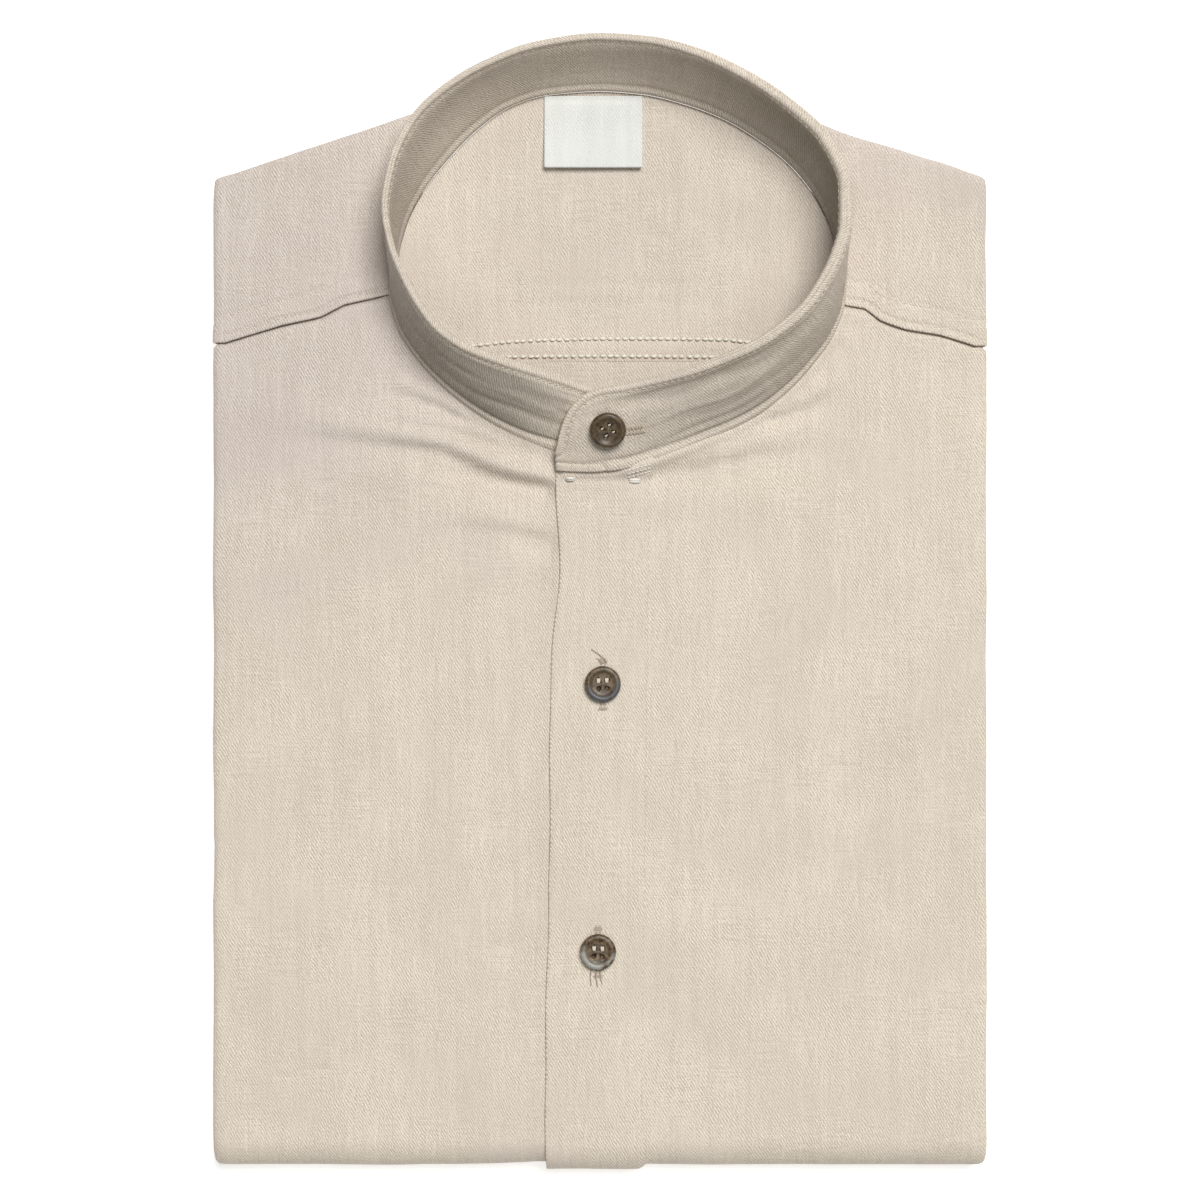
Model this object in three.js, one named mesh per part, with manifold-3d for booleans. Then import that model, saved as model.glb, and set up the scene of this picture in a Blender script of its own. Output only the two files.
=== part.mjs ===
// A mandarin collar shirt, folded for the shelf and lying on its back.
// The frame: millimetres, +Z up from the surface, +Y toward the collar, +X toward the wearer's left side.
// The origin is on the surface, under the middle of the folded shirt.
import * as THREE from "three";
import { mergeVertices } from "three/addons/utils/BufferGeometryUtils.js";
import Module from "manifold-3d";

// ---- Driving dimensions ----
const THICKNESS = 18; // the whole folded stack, two equal halves one on the other
const HALF_WIDTH = 122.8; // to the side folds
const BOTTOM_FOLD_Y = -177.6; // where the shirt is doubled under itself
const HEM_Y = 125; // the hem's end of the half that is turned under
const WALL = 1; // one layer of cloth
const SEAM_GAP = 0.3; // between two pieces at a seam
const NECK_GAP = 0.45; // between the collar's base and the panels sewn to it

const BOTTOM_RADIUS = THICKNESS / 2;
const BOTTOM_CENTRE_Y = BOTTOM_FOLD_Y + BOTTOM_RADIUS;
const FOLD_END = BOTTOM_CENTRE_Y - Math.PI * BOTTOM_RADIUS; // where the bottom fold has turned
const HEM_ALONG = FOLD_END - (HEM_Y - BOTTOM_CENTRE_Y);
const SIDE_RADIUS = 3.9;
const SIDE_FLAT = HALF_WIDTH - SIDE_RADIUS; // where the side fold starts to turn
const SIDE_TURN = Math.PI * SIDE_RADIUS;
const SIDE_RETURN = 10; // cloth past the side fold, before it is lost in the hidden layers
const SIDE_STEPS = 5; // steps of the mesh round a side fold
const FOLD_STEPS = 6; // and round the bottom fold
const RETURN_DEPTH = 2 * SIDE_RADIUS; // from the top of the upper half to the cloth turned under it

const PLACKET = {
  left: -14.2,
  right: 16,
  proud: 0.4, // above the fronts, on the upper half
  thickness: 1.2,
  underlap: 12, // how far the other front runs beneath it
  foldBulge: 1.3, // its stiff layers round the bottom fold more widely
  lean: -2.8, // it drifts to the wearer's right between the collar and the bottom fold
  columns: 3,
};

const BUTTON = {
  diameter: 11.4,
  thickness: 2.6,
  rimWidth: 1.7,
  dish: 0.7,
  edgeRound: 0.6,
  backInset: 1.2, // the back's flat stops this far inside the edge
  backRise: 0.96, // and the back rounds up this much to the edge
  dishStart: 0.4, // the rim starts to fall this far outside its inner line
  dishEnd: 0.5, // and meets the dish this far inside that line
  holeDiameter: 1.5,
  holeSpacing: 2.6,
  sides: 28,
  holeSides: 8,
};

// The collar band, station by station: from the tab's end on the front, round the wearer's left side, the
// back and the right side, to the end that runs beneath the tab. Base and top are the edges of its outer
// face; belly is how far that face swells between them.
const COLLAR = [
  { baseX: -13.6, baseY: 43.6, baseZ: 20.7, topX: -13.9, topY: 50.0, topZ: 23.2, belly: 0.0 },
  { baseX: -11.0, baseY: 43.3, baseZ: 20.8, topX: -12.2, topY: 57.2, topZ: 25.7, belly: 0.1 },
  { baseX: -7.5, baseY: 43.1, baseZ: 20.9, topX: -9.6, topY: 62.5, topZ: 27.5, belly: 0.2 },
  { baseX: -3.5, baseY: 43.0, baseZ: 20.9, topX: -5.0, topY: 66.8, topZ: 29.1, belly: 0.3 },
  { baseX: 1.5, baseY: 43.2, baseZ: 20.9, topX: 0.5, topY: 68.9, topZ: 30.0, belly: 0.4 },
  { baseX: 8.0, baseY: 44.0, baseZ: 20.6, topX: 5.5, topY: 69.6, topZ: 30.6, belly: 0.4 },
  { baseX: 16.0, baseY: 46.3, baseZ: 19.8, topX: 11.5, topY: 70.6, topZ: 31.4, belly: 0.4 },
  { baseX: 25.0, baseY: 49.5, baseZ: 18.9, topX: 18.5, topY: 71.9, topZ: 33.2, belly: 0.4 },
  { baseX: 35.0, baseY: 53.6, baseZ: 18.4, topX: 26.5, topY: 73.6, topZ: 35.4, belly: 0.5 },
  { baseX: 44.4, baseY: 57.8, baseZ: 18.3, topX: 35.0, topY: 76.2, topZ: 37.4, belly: 0.6 },
  { baseX: 53.0, baseY: 63.0, baseZ: 18.3, topX: 42.5, topY: 79.0, topZ: 39.2, belly: 0.8 },
  { baseX: 61.0, baseY: 69.8, baseZ: 18.3, topX: 49.5, topY: 82.0, topZ: 40.6, belly: 0.9 },
  { baseX: 68.2, baseY: 78.0, baseZ: 18.3, topX: 57.3, topY: 86.9, topZ: 42.0, belly: 1.0 },
  { baseX: 74.2, baseY: 86.8, baseZ: 18.2, topX: 64.3, topY: 92.8, topZ: 43.0, belly: 1.0 },
  { baseX: 77.4, baseY: 96.5, baseZ: 18.0, topX: 69.6, topY: 99.8, topZ: 43.7, belly: 1.1 },
  { baseX: 77.9, baseY: 107.0, baseZ: 17.4, topX: 74.5, topY: 108.5, topZ: 44.0, belly: 1.2 },
  { baseX: 76.4, baseY: 118.0, baseZ: 16.6, topX: 77.9, topY: 119.5, topZ: 43.8, belly: 1.2 },
  { baseX: 71.6, baseY: 129.4, baseZ: 16.0, topX: 78.2, topY: 132.2, topZ: 42.8, belly: 1.0 },
  { baseX: 63.3, baseY: 140.6, baseZ: 15.6, topX: 71.8, topY: 147.4, topZ: 42.0, belly: 0.7 },
  { baseX: 52.8, baseY: 149.6, baseZ: 15.4, topX: 60.2, topY: 158.3, topZ: 41.6, belly: 0.5 },
  { baseX: 39.8, baseY: 157.4, baseZ: 15.3, topX: 44.6, topY: 168.2, topZ: 41.1, belly: 0.4 },
  { baseX: 26.2, baseY: 162.4, baseZ: 15.3, topX: 29.5, topY: 174.8, topZ: 40.6, belly: 0.4 },
  { baseX: 13.2, baseY: 165.3, baseZ: 15.3, topX: 14.8, topY: 178.2, topZ: 40.3, belly: 0.4 },
  { baseX: -0.5, baseY: 166.2, baseZ: 15.3, topX: -0.5, topY: 179.1, topZ: 40.2, belly: 0.4 },
  { baseX: -17.5, baseY: 164.9, baseZ: 15.3, topX: -20.0, topY: 176.4, topZ: 40.6, belly: 0.4 },
  { baseX: -29.7, baseY: 161.0, baseZ: 15.3, topX: -34.0, topY: 171.4, topZ: 40.9, belly: 0.4 },
  { baseX: -40.0, baseY: 153.8, baseZ: 15.3, topX: -46.9, topY: 164.2, topZ: 41.0, belly: 0.4 },
  { baseX: -49.6, baseY: 144.1, baseZ: 15.5, topX: -58.4, topY: 153.6, topZ: 41.5, belly: 0.5 },
  { baseX: -58.6, baseY: 132.5, baseZ: 15.9, topX: -65.0, topY: 138.5, topZ: 42.4, belly: 0.6 },
  { baseX: -63.8, baseY: 122.0, baseZ: 16.4, topX: -66.9, topY: 125.0, topZ: 43.2, belly: 0.8 },
  { baseX: -66.4, baseY: 111.0, baseZ: 17.2, topX: -65.6, topY: 113.0, topZ: 43.8, belly: 0.8 },
  { baseX: -66.8, baseY: 100.2, baseZ: 17.9, topX: -61.6, topY: 103.2, topZ: 43.9, belly: 0.8 },
  { baseX: -64.4, baseY: 89.6, baseZ: 18.2, topX: -56.6, topY: 94.2, topZ: 43.6, belly: 0.8 },
  { baseX: -58.6, baseY: 79.8, baseZ: 18.2, topX: -50.4, topY: 86.4, topZ: 42.8, belly: 0.9 },
  { baseX: -51.2, baseY: 71.4, baseZ: 18.2, topX: -42.2, topY: 81.0, topZ: 41.2, belly: 1.1 },
  { baseX: -43.6, baseY: 64.8, baseZ: 18.1, topX: -34.0, topY: 78.0, topZ: 39.0, belly: 1.5 },
  { baseX: -34.8, baseY: 58.8, baseZ: 18.0, topX: -25.2, topY: 75.6, topZ: 36.2, belly: 1.8 },
  { baseX: -25.4, baseY: 53.9, baseZ: 17.8, topX: -16.8, topY: 73.4, topZ: 33.0, belly: 1.8 },
  { baseX: -16.0, baseY: 50.4, baseZ: 17.5, topX: -9.3, topY: 71.2, topZ: 29.2, belly: 1.0 },
  { baseX: -7.0, baseY: 48.2, baseZ: 17.2, topX: -2.6, topY: 69.0, topZ: 26.8, belly: 0.0 },
  { baseX: 2.0, baseY: 46.6, baseZ: 17.1, topX: 5.0, topY: 66.6, topZ: 25.6, belly: -0.2 },
  { baseX: 9.0, baseY: 46.0, baseZ: 17.1, topX: 11.0, topY: 65.6, topZ: 25.4, belly: -0.2 },
];
const COLLAR_ROWS = 4; // rows of faces up the band
const INNER_WALL_SHARE = 0.985; // how far up the band its inner cloth reaches
const TAB_END = 0;
const PLACKET_STATION = 6; // at the placket's stitched edge
const LEFT_SEAM_STATION = 14; // where the yoke's seam meets the neck on the wearer's left
const RIGHT_SEAM_STATION = 31; // and on the wearer's right
const UNDERLAP_END = COLLAR.length - 1;

// The seams between the yoke and the fronts, from the neck out to the side folds.
const LEFT_YOKE_SEAM = [
  { x: 84.0, y: 95.4 },
  { x: 89.0, y: 91.6 },
  { x: 97.0, y: 88.8 },
  { x: 108.0, y: 87.0 },
  { x: SIDE_FLAT, y: 83.6 },
];
const RIGHT_YOKE_SEAM = [
  { x: -72.0, y: 98.6 },
  { x: -81.0, y: 96.6 },
  { x: -88.5, y: 92.8 },
  { x: -101.0, y: 90.0 },
  { x: -SIDE_FLAT, y: 84.6 },
];

// The fold that the yoke makes along the sides, the shoulders and behind the neck, from the wearer's left
// seam round to the right one. Station is the collar station that each point faces, and top the height of
// the yoke there.
const YOKE_EDGE = [
  { station: 14, x: HALF_WIDTH, y: 83.6, outX: 1, outY: 0, top: 18.0 },
  { station: 15, x: HALF_WIDTH, y: 99.0, outX: 1, outY: 0, top: 18.0 },
  { station: 16, x: HALF_WIDTH, y: 116.0, outX: 1, outY: 0, top: 18.0 },
  { station: 16.7, x: HALF_WIDTH, y: 129.0, outX: 1, outY: 0, top: 18.0 },
  { station: 17, x: 122.4, y: 135.8, outX: 0.86, outY: 0.95, top: 18.0 },
  { station: 17.4, x: 115.6, y: 138.9, outX: 0.31, outY: 0.95, top: 18.0 },
  { station: 18, x: 100.0, y: 144.1, outX: 0.3, outY: 0.95, top: 18.0 },
  { station: 19, x: 80.0, y: 150.2, outX: 0.31, outY: 0.95, top: 17.8 },
  { station: 20, x: 54.0, y: 160.0, outX: 0.4, outY: 0.92, top: 17.0 },
  { station: 21, x: 32.0, y: 168.4, outX: 0.3, outY: 0.95, top: 16.2 },
  { station: 22, x: 15.0, y: 171.7, outX: 0.12, outY: 0.99, top: 15.9 },
  { station: 23, x: -1.0, y: 172.4, outX: 0, outY: 1, top: 15.8 },
  { station: 24, x: -19.0, y: 171.2, outX: -0.18, outY: 0.98, top: 15.9 },
  { station: 25, x: -33.0, y: 167.4, outX: -0.34, outY: 0.94, top: 16.3 },
  { station: 26, x: -47.0, y: 161.8, outX: -0.35, outY: 0.94, top: 17.0 },
  { station: 27, x: -65.0, y: 155.1, outX: -0.32, outY: 0.95, top: 17.8 },
  { station: 28, x: -88.0, y: 147.6, outX: -0.31, outY: 0.95, top: 18.0 },
  { station: 28.6, x: -115.0, y: 138.4, outX: -0.31, outY: 0.95, top: 18.0 },
  { station: 29, x: -122.2, y: 135.8, outX: -0.86, outY: 0.95, top: 18.0 },
  { station: 29.3, x: -HALF_WIDTH, y: 129.0, outX: -1, outY: 0, top: 18.0 },
  { station: 30, x: -HALF_WIDTH, y: 114.0, outX: -1, outY: 0, top: 18.0 },
  { station: 30.5, x: -HALF_WIDTH, y: 100.0, outX: -1, outY: 0, top: 18.0 },
  { station: 31, x: -HALF_WIDTH, y: 84.6, outX: -1, outY: 0, top: 18.0 },
];

const LINING = {
  top: 14.2, // its flat middle, seen through the neck
  seamY: 78.6, // its topstitched edge, over the back
  slope: 14, // how far from the neck it comes down to the flat
  edgeMargin: 1.2, // between its outermost columns and the neck's widest points
  columns: 16,
  rows: 8,
};
const BACK = { top: 13.9, southY: 54, left: -42, right: 48, columns: 6, rows: 3 };
const LABEL = {
  left: -17.4,
  right: 13.2,
  top: 162.3,
  bottom: 140.2,
  lift: 1.7, // its lower edge stands off the lining
  thickness: 0.8,
  clearance: 0.4, // above the lining at its upper edge
  rows: 5,
};

// The creases that pull across the fronts: soft troughs, each between two points.
const CREASES = [
  { fromX: -16, fromY: 36, toX: -56, toY: 43, width: 5.5, depth: 0.9 },
  { fromX: -56, fromY: 43, toX: -118, toY: 58, width: 7, depth: 0.7 },
  { fromX: -60, fromY: 64, toX: -28, toY: 50, width: 4.5, depth: 0.6 },
  { fromX: 20, fromY: 43, toX: 78, toY: 52, width: 5, depth: 0.6 },
  { fromX: 72, fromY: 71, toX: 86, toY: 84, width: 4.5, depth: 0.5 },
];

// How the hidden front comes level away from the placket, as a share of its depth beneath it.
const UNDERLAP_DEPTH = [
  { x: -60, depth: 0 },
  { x: -38, depth: 0.2 },
  { x: -22, depth: 0.6 },
  { x: PLACKET.left - SEAM_GAP, depth: 1 },
  { x: PLACKET.right, depth: 1 },
];

const FINISHES = {
  cloth: { color: 0xded3c2, roughness: 0.95 },
  lining: { color: 0xd9cdbf, roughness: 0.95 },
  collar: { color: 0xc9bdac, roughness: 0.95 },
  label: { color: 0xf2f2eb, roughness: 0.95 },
  button: { color: 0x766753, roughness: 0.4 },
};

// ---- Small helpers ----
const lerp = (a, b, t) => a + (b - a) * t;

function smooth(from, to, value) {
  const t = Math.min(1, Math.max(0, (value - from) / (to - from)));
  return t * t * (3 - 2 * t);
}

// A column of a table, at a place between two of its rows. The key column rises from row to row.
function between(table, key, at, column) {
  const last = table.length - 1;
  if (at <= table[0][key]) return table[0][column];
  if (at >= table[last][key]) return table[last][column];
  const i = table.findIndex((row) => row[key] > at);
  const share = (at - table[i - 1][key]) / (table[i][key] - table[i - 1][key]);
  return lerp(table[i - 1][column], table[i][column], share);
}

// A closed solid between two grids of points, its outer and its inner face.
function sheetGeometry(outer, inner) {
  const rows = outer.length;
  const columns = outer[0].length;
  const points = [...outer.flat(), ...inner.flat()];
  const faces = [];
  const at = (layer, row, column) => layer * rows * columns + row * columns + column;
  const quad = (a, b, c, d) => faces.push(a, b, c, a, c, d);
  for (let row = 0; row + 1 < rows; row++) {
    for (let column = 0; column + 1 < columns; column++) {
      quad(at(0, row, column), at(0, row, column + 1), at(0, row + 1, column + 1), at(0, row + 1, column));
      quad(at(1, row, column), at(1, row + 1, column), at(1, row + 1, column + 1), at(1, row, column + 1));
    }
    quad(at(0, row, 0), at(0, row + 1, 0), at(1, row + 1, 0), at(1, row, 0));
    const last = columns - 1;
    quad(at(0, row, last), at(1, row, last), at(1, row + 1, last), at(0, row + 1, last));
  }
  for (let column = 0; column + 1 < columns; column++) {
    quad(at(0, 0, column), at(1, 0, column), at(1, 0, column + 1), at(0, 0, column + 1));
    quad(
      at(0, rows - 1, column),
      at(0, rows - 1, column + 1),
      at(1, rows - 1, column + 1),
      at(1, rows - 1, column),
    );
  }
  return facingOut(points, faces);
}

// Six times the volume that the faces enclose, negative when they face inward.
function signedVolume(points, faces) {
  let sum = 0;
  for (let i = 0; i < faces.length; i += 3) {
    const [a, b, c] = [points[faces[i]], points[faces[i + 1]], points[faces[i + 2]]];
    sum += a.dot(b.clone().cross(c));
  }
  return sum;
}

function facingOut(points, faces) {
  const order = signedVolume(points, faces) < 0 ? faces.slice().reverse() : faces;
  const geometry = new THREE.BufferGeometry();
  const numbers = points.flatMap((p) => [p.x, p.y, p.z]);
  geometry.setAttribute("position", new THREE.Float32BufferAttribute(numbers, 3));
  geometry.setIndex(order);
  return geometry;
}

// ---- The folded shirt's own coordinates ----
// A point of the folded pack: across runs from the middle out to a side fold and round it, along runs down
// the front, round the bottom fold and back beneath, and depth is below the outer face.
function packPoint(across, along, depth) {
  const side = Math.sign(across);
  const past = Math.abs(across) - SIDE_FLAT;
  let x = across;
  let deep = depth;
  if (past > SIDE_TURN) {
    x = side * (SIDE_FLAT - (past - SIDE_TURN));
    deep = RETURN_DEPTH - depth;
  } else if (past > 0) {
    const angle = past / SIDE_RADIUS;
    x = side * (SIDE_FLAT + (SIDE_RADIUS - depth) * Math.sin(angle));
    deep = SIDE_RADIUS - (SIDE_RADIUS - depth) * Math.cos(angle);
  }
  const pastFold = BOTTOM_CENTRE_Y - along;
  if (pastFold <= 0) return new THREE.Vector3(x, along, THICKNESS - deep);
  if (along <= FOLD_END) return new THREE.Vector3(x, BOTTOM_CENTRE_Y + FOLD_END - along, deep);
  const angle = pastFold / BOTTOM_RADIUS;
  const reach = BOTTOM_RADIUS - deep;
  return new THREE.Vector3(
    x,
    BOTTOM_CENTRE_Y - reach * Math.sin(angle),
    BOTTOM_RADIUS + reach * Math.cos(angle),
  );
}

// The rows of a sheet on the upper half, as shares of the way from its upper edge to the bottom fold. They
// are closest by the collar, where the creases are.
const SHEET_ROWS = [0, 0.03, 0.07, 0.12, 0.19, 0.3, 0.6, 0.94, 1];

// Rows round the bottom fold, and on beneath the pack to an end.
function lowerRows(end) {
  const turns = Array.from({ length: FOLD_STEPS }, (_, n) => {
    return lerp(BOTTOM_CENTRE_Y, FOLD_END, (n + 1) / FOLD_STEPS);
  });
  return [...turns, (FOLD_END + end) / 2, end];
}

function sheetRows(north) {
  return [...SHEET_ROWS.map((t) => lerp(north, BOTTOM_CENTRE_Y, t)), ...lowerRows(HEM_ALONG)];
}

// The placket leans a little, and the cloth beside it follows, less and less.
function leaned(x, along) {
  const share = Math.min(1, Math.max(0, (COLLAR[0].baseY - along) / (COLLAR[0].baseY - BOTTOM_CENTRE_Y)));
  return x + PLACKET.lean * share * (1 - smooth(PLACKET.right + SEAM_GAP, HALF_WIDTH / 2, Math.abs(x)));
}

function creaseDepth(x, y) {
  return CREASES.reduce((sum, c) => {
    const runX = c.toX - c.fromX;
    const runY = c.toY - c.fromY;
    const reached = ((x - c.fromX) * runX + (y - c.fromY) * runY) / (runX ** 2 + runY ** 2);
    const share = Math.min(1, Math.max(0, reached));
    const off = Math.hypot(x - c.fromX - share * runX, y - c.fromY - share * runY);
    return sum + c.depth * Math.exp(-((off / c.width) ** 2));
  }, 0);
}

// ---- Collar ----
const collarBase = (row) => new THREE.Vector3(row.baseX, row.baseY, row.baseZ);
const collarTop = (row) => new THREE.Vector3(row.topX, row.topY, row.topZ);

function collarAlong(station) {
  const before = Math.max(0, Math.min(UNDERLAP_END, station) - 1);
  const after = Math.min(UNDERLAP_END, station + 1);
  return collarBase(COLLAR[after])
    .sub(collarBase(COLLAR[before]))
    .add(collarTop(COLLAR[after]).sub(collarTop(COLLAR[before])));
}

function collarPoint(station, share, depth) {
  const base = collarBase(COLLAR[station]);
  const top = collarTop(COLLAR[station]);
  const outward = collarAlong(station).cross(top.clone().sub(base)).normalize();
  const swell = COLLAR[station].belly * 4 * share * (1 - share);
  return base.lerp(top, share).addScaledVector(outward, swell - depth);
}

function collarWall(depth, topShare) {
  const grid = (deep) =>
    COLLAR.map((_, station) =>
      Array.from({ length: COLLAR_ROWS + 1 }, (_, row) =>
        collarPoint(station, (topShare * row) / COLLAR_ROWS, deep),
      ),
    );
  return sheetGeometry(grid(depth), grid(depth + WALL));
}

// The plan of the neck at a distance outside the collar's base, or inside it where the distance is
// negative.
function neckPoint(station, distance) {
  const row = COLLAR[station];
  const before = COLLAR[Math.max(0, station - 1)];
  const after = COLLAR[Math.min(UNDERLAP_END, station + 1)];
  const runX = after.baseX - before.baseX;
  const runY = after.baseY - before.baseY;
  const run = Math.hypot(runX, runY);
  return { x: row.baseX + (distance * runY) / run, y: row.baseY - (distance * runX) / run };
}

function neckBetween(station, distance) {
  const low = Math.floor(station);
  const a = neckPoint(low, distance);
  const b = neckPoint(Math.min(low + 1, UNDERLAP_END), distance);
  return { x: lerp(a.x, b.x, station - low), y: lerp(a.y, b.y, station - low) };
}

// ---- Fronts ----
// The upper edge of each front: along the neck, then along the yoke's seam.
const stations = (from, to) => Array.from({ length: to - from + 1 }, (_, i) => from + i);
const LEFT_NECK_EDGE = stations(PLACKET_STATION, LEFT_SEAM_STATION).map((s) => neckPoint(s, NECK_GAP));
const RIGHT_NECK_EDGE = stations(RIGHT_SEAM_STATION, UNDERLAP_END)
  .reverse()
  .map((s) => neckPoint(s, NECK_GAP));
const YOKE_GAP = 0.45; // between the yoke's edge and the fronts sewn to it
const lowered = (seam) => seam.map((p) => ({ x: p.x, y: p.y - YOKE_GAP }));

// Past the seam's end the columns go round the side fold, level with it.
function withSideFold(edge) {
  const side = Math.sign(edge[edge.length - 1].x);
  const turns = Array.from({ length: SIDE_STEPS }, (_, n) => SIDE_FLAT + ((n + 1) / SIDE_STEPS) * SIDE_TURN);
  const beyond = [...turns, SIDE_FLAT + SIDE_TURN + SIDE_RETURN];
  return [...edge, ...beyond.map((across) => ({ x: side * across, y: edge[edge.length - 1].y }))];
}

function frontGeometry(edge, depthAt) {
  const columns = withSideFold(edge);
  const grid = (wall) =>
    columns.map(({ x, y }) =>
      sheetRows(y).map((along) => {
        const depth = wall + depthAt(x, along) + creaseDepth(x, along);
        return packPoint(leaned(x, along), along, depth);
      }),
    );
  return sheetGeometry(grid(0), grid(WALL));
}

function leftFront() {
  const start = { x: PLACKET.right + SEAM_GAP, y: LEFT_NECK_EDGE[0].y };
  const seam = lowered([LEFT_NECK_EDGE.at(-1), ...LEFT_YOKE_SEAM]);
  return frontGeometry([start, ...LEFT_NECK_EDGE.slice(1, -1), ...seam], () => 0);
}

function rightFront() {
  const start = { x: PLACKET.underlap, y: RIGHT_NECK_EDGE[0].y };
  const seam = lowered([RIGHT_NECK_EDGE.at(-1), ...RIGHT_YOKE_SEAM]);
  return frontGeometry([start, ...RIGHT_NECK_EDGE.slice(0, -1), ...seam], (x, along) => {
    return between(UNDERLAP_DEPTH, "x", x, "depth") * (placketBase(along) + SEAM_GAP);
  });
}

// ---- Placket ----
// Beneath the pack the placket is pressed level with the fronts.
const placketProud = (along) => PLACKET.proud * smooth(FOLD_END, BOTTOM_CENTRE_Y, along);
const placketBase = (along) => PLACKET.thickness - placketProud(along);

function placketTop(along) {
  const round = Math.min(1, Math.max(0, (BOTTOM_CENTRE_Y - along) / (BOTTOM_CENTRE_Y - FOLD_END)));
  return -placketProud(along) - PLACKET.foldBulge * Math.sin(Math.PI * round);
}

function placketGeometry() {
  const columns = Array.from({ length: PLACKET.columns + 1 }, (_, n) =>
    lerp(PLACKET.left, PLACKET.right, n / PLACKET.columns),
  );
  const tabBase = stations(TAB_END, PLACKET_STATION).map((s) => neckPoint(s, NECK_GAP));
  const grid = (depthAt) =>
    columns.map((x) => {
      const rows = sheetRows(between(tabBase, "x", x, "y"));
      return rows.map((along) => packPoint(leaned(x, along), along, depthAt(along)));
    });
  return sheetGeometry(grid(placketTop), grid(placketBase));
}

// ---- Yoke ----
const SPOKE_SHARES = [0, 0.14, 0.34, 0.56, 0.79, 1]; // of the way from the neck to the fold
const NECK_RISE_STEPS = 2; // in so many of them the cloth comes up from the collar's base
const SHOULDER_RETURN = 0.8; // past the fold at the shoulders, before the hidden layers begin

// A point of the yoke on one spoke: out from the neck over the shoulder, round the fold, and back beneath
// it.
function yokeSpoke(spoke, wall) {
  const neck = neckBetween(spoke.station, NECK_GAP);
  const neckZ = between(
    COLLAR.map((row, station) => ({ station, z: row.baseZ })),
    "station",
    spoke.station,
    "z",
  );
  const radius = (spoke.top - (THICKNESS - RETURN_DEPTH)) / 2;
  const endX = spoke.x - spoke.outX * radius;
  const endY = spoke.y - spoke.outY * radius;
  const points = spoke.seam
    ? [neck, ...spoke.seam].map(({ x, y }) => new THREE.Vector3(x, y, 0))
    : SPOKE_SHARES.map((t) => new THREE.Vector3(lerp(neck.x, endX, t), lerp(neck.y, endY, t), 0));
  points.forEach((p, i) => {
    p.z = lerp(Math.min(neckZ, spoke.top), spoke.top, smooth(0, NECK_RISE_STEPS, i)) - wall;
  });
  const end = points[points.length - 1];
  for (let n = 1; n <= SIDE_STEPS; n++) {
    const angle = (n / SIDE_STEPS) * Math.PI;
    const out = (radius - wall) * Math.sin(angle);
    const z = spoke.top - radius + (radius - wall) * Math.cos(angle);
    points.push(new THREE.Vector3(end.x + spoke.outX * out, end.y + spoke.outY * out, z));
  }
  const last = points[points.length - 1];
  const { outX, outY, reach } = spoke;
  points.push(new THREE.Vector3(last.x - outX * reach, last.y - outY * reach, last.z));
  return points;
}

function yokeGeometry() {
  const onSide = (spoke) => spoke.outY === 0 && spoke.outX !== 0;
  const cornerY = Math.max(...YOKE_EDGE.filter(onSide).map((spoke) => spoke.y));
  const spokes = YOKE_EDGE.map((spoke) => ({
    ...spoke,
    reach: onSide(spoke) ? Math.min(SIDE_RETURN, SHOULDER_RETURN + cornerY - spoke.y) : SHOULDER_RETURN,
  }));
  spokes[0].seam = LEFT_YOKE_SEAM;
  spokes[spokes.length - 1].seam = RIGHT_YOKE_SEAM;
  const grid = (wall) => spokes.map((spoke) => yokeSpoke(spoke, wall));
  return sheetGeometry(grid(0), grid(WALL));
}

// ---- Inside the neck ----
const BAND_THICKNESS = 2 * WALL + SEAM_GAP;
const INSIDE_NECK = stations(LEFT_SEAM_STATION - 4, RIGHT_SEAM_STATION + 3).map((s) => ({
  ...neckPoint(s, -BAND_THICKNESS - NECK_GAP),
  z: COLLAR[s].baseZ,
}));

// Where a line at one x crosses the neck's inside, nearest the front and nearest the back.
function neckCrossings(x) {
  const found = [];
  for (let i = 0; i + 1 < INSIDE_NECK.length; i++) {
    const [a, b] = [INSIDE_NECK[i], INSIDE_NECK[i + 1]];
    if (a.x <= x !== b.x <= x) found.push(lerp(a.y, b.y, (x - a.x) / (b.x - a.x)));
  }
  return { south: Math.min(...found), north: Math.max(...found) };
}

function distanceInside(x, y) {
  return Math.min(...INSIDE_NECK.map((p) => Math.hypot(p.x - x, p.y - y)));
}

function neckEdgeZ(x, y) {
  const near = INSIDE_NECK.reduce((best, p) =>
    Math.hypot(p.x - x, p.y - y) < Math.hypot(best.x - x, best.y - y) ? p : best,
  );
  return Math.min(near.z, THICKNESS - WALL - 2 * SEAM_GAP);
}

const liningZ = (x, y) => lerp(neckEdgeZ(x, y), LINING.top, smooth(0, LINING.slope, distanceInside(x, y)));

function liningGeometry() {
  const left = Math.min(...INSIDE_NECK.map((p) => p.x)) + LINING.edgeMargin;
  const right = Math.max(...INSIDE_NECK.map((p) => p.x)) - LINING.edgeMargin;
  const grid = (wall) =>
    Array.from({ length: LINING.columns + 1 }, (_, column) => {
      const x = lerp(left, right, 0.5 - 0.5 * Math.cos((Math.PI * column) / LINING.columns));
      const { south, north } = neckCrossings(x);
      const from = Math.max(LINING.seamY, south === north ? LINING.seamY : south);
      return Array.from({ length: LINING.rows + 1 }, (_, row) => {
        const y = lerp(from, north, row / LINING.rows);
        return new THREE.Vector3(x, y, liningZ(x, y) - wall);
      });
    });
  return sheetGeometry(grid(0), grid(WALL));
}

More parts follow.
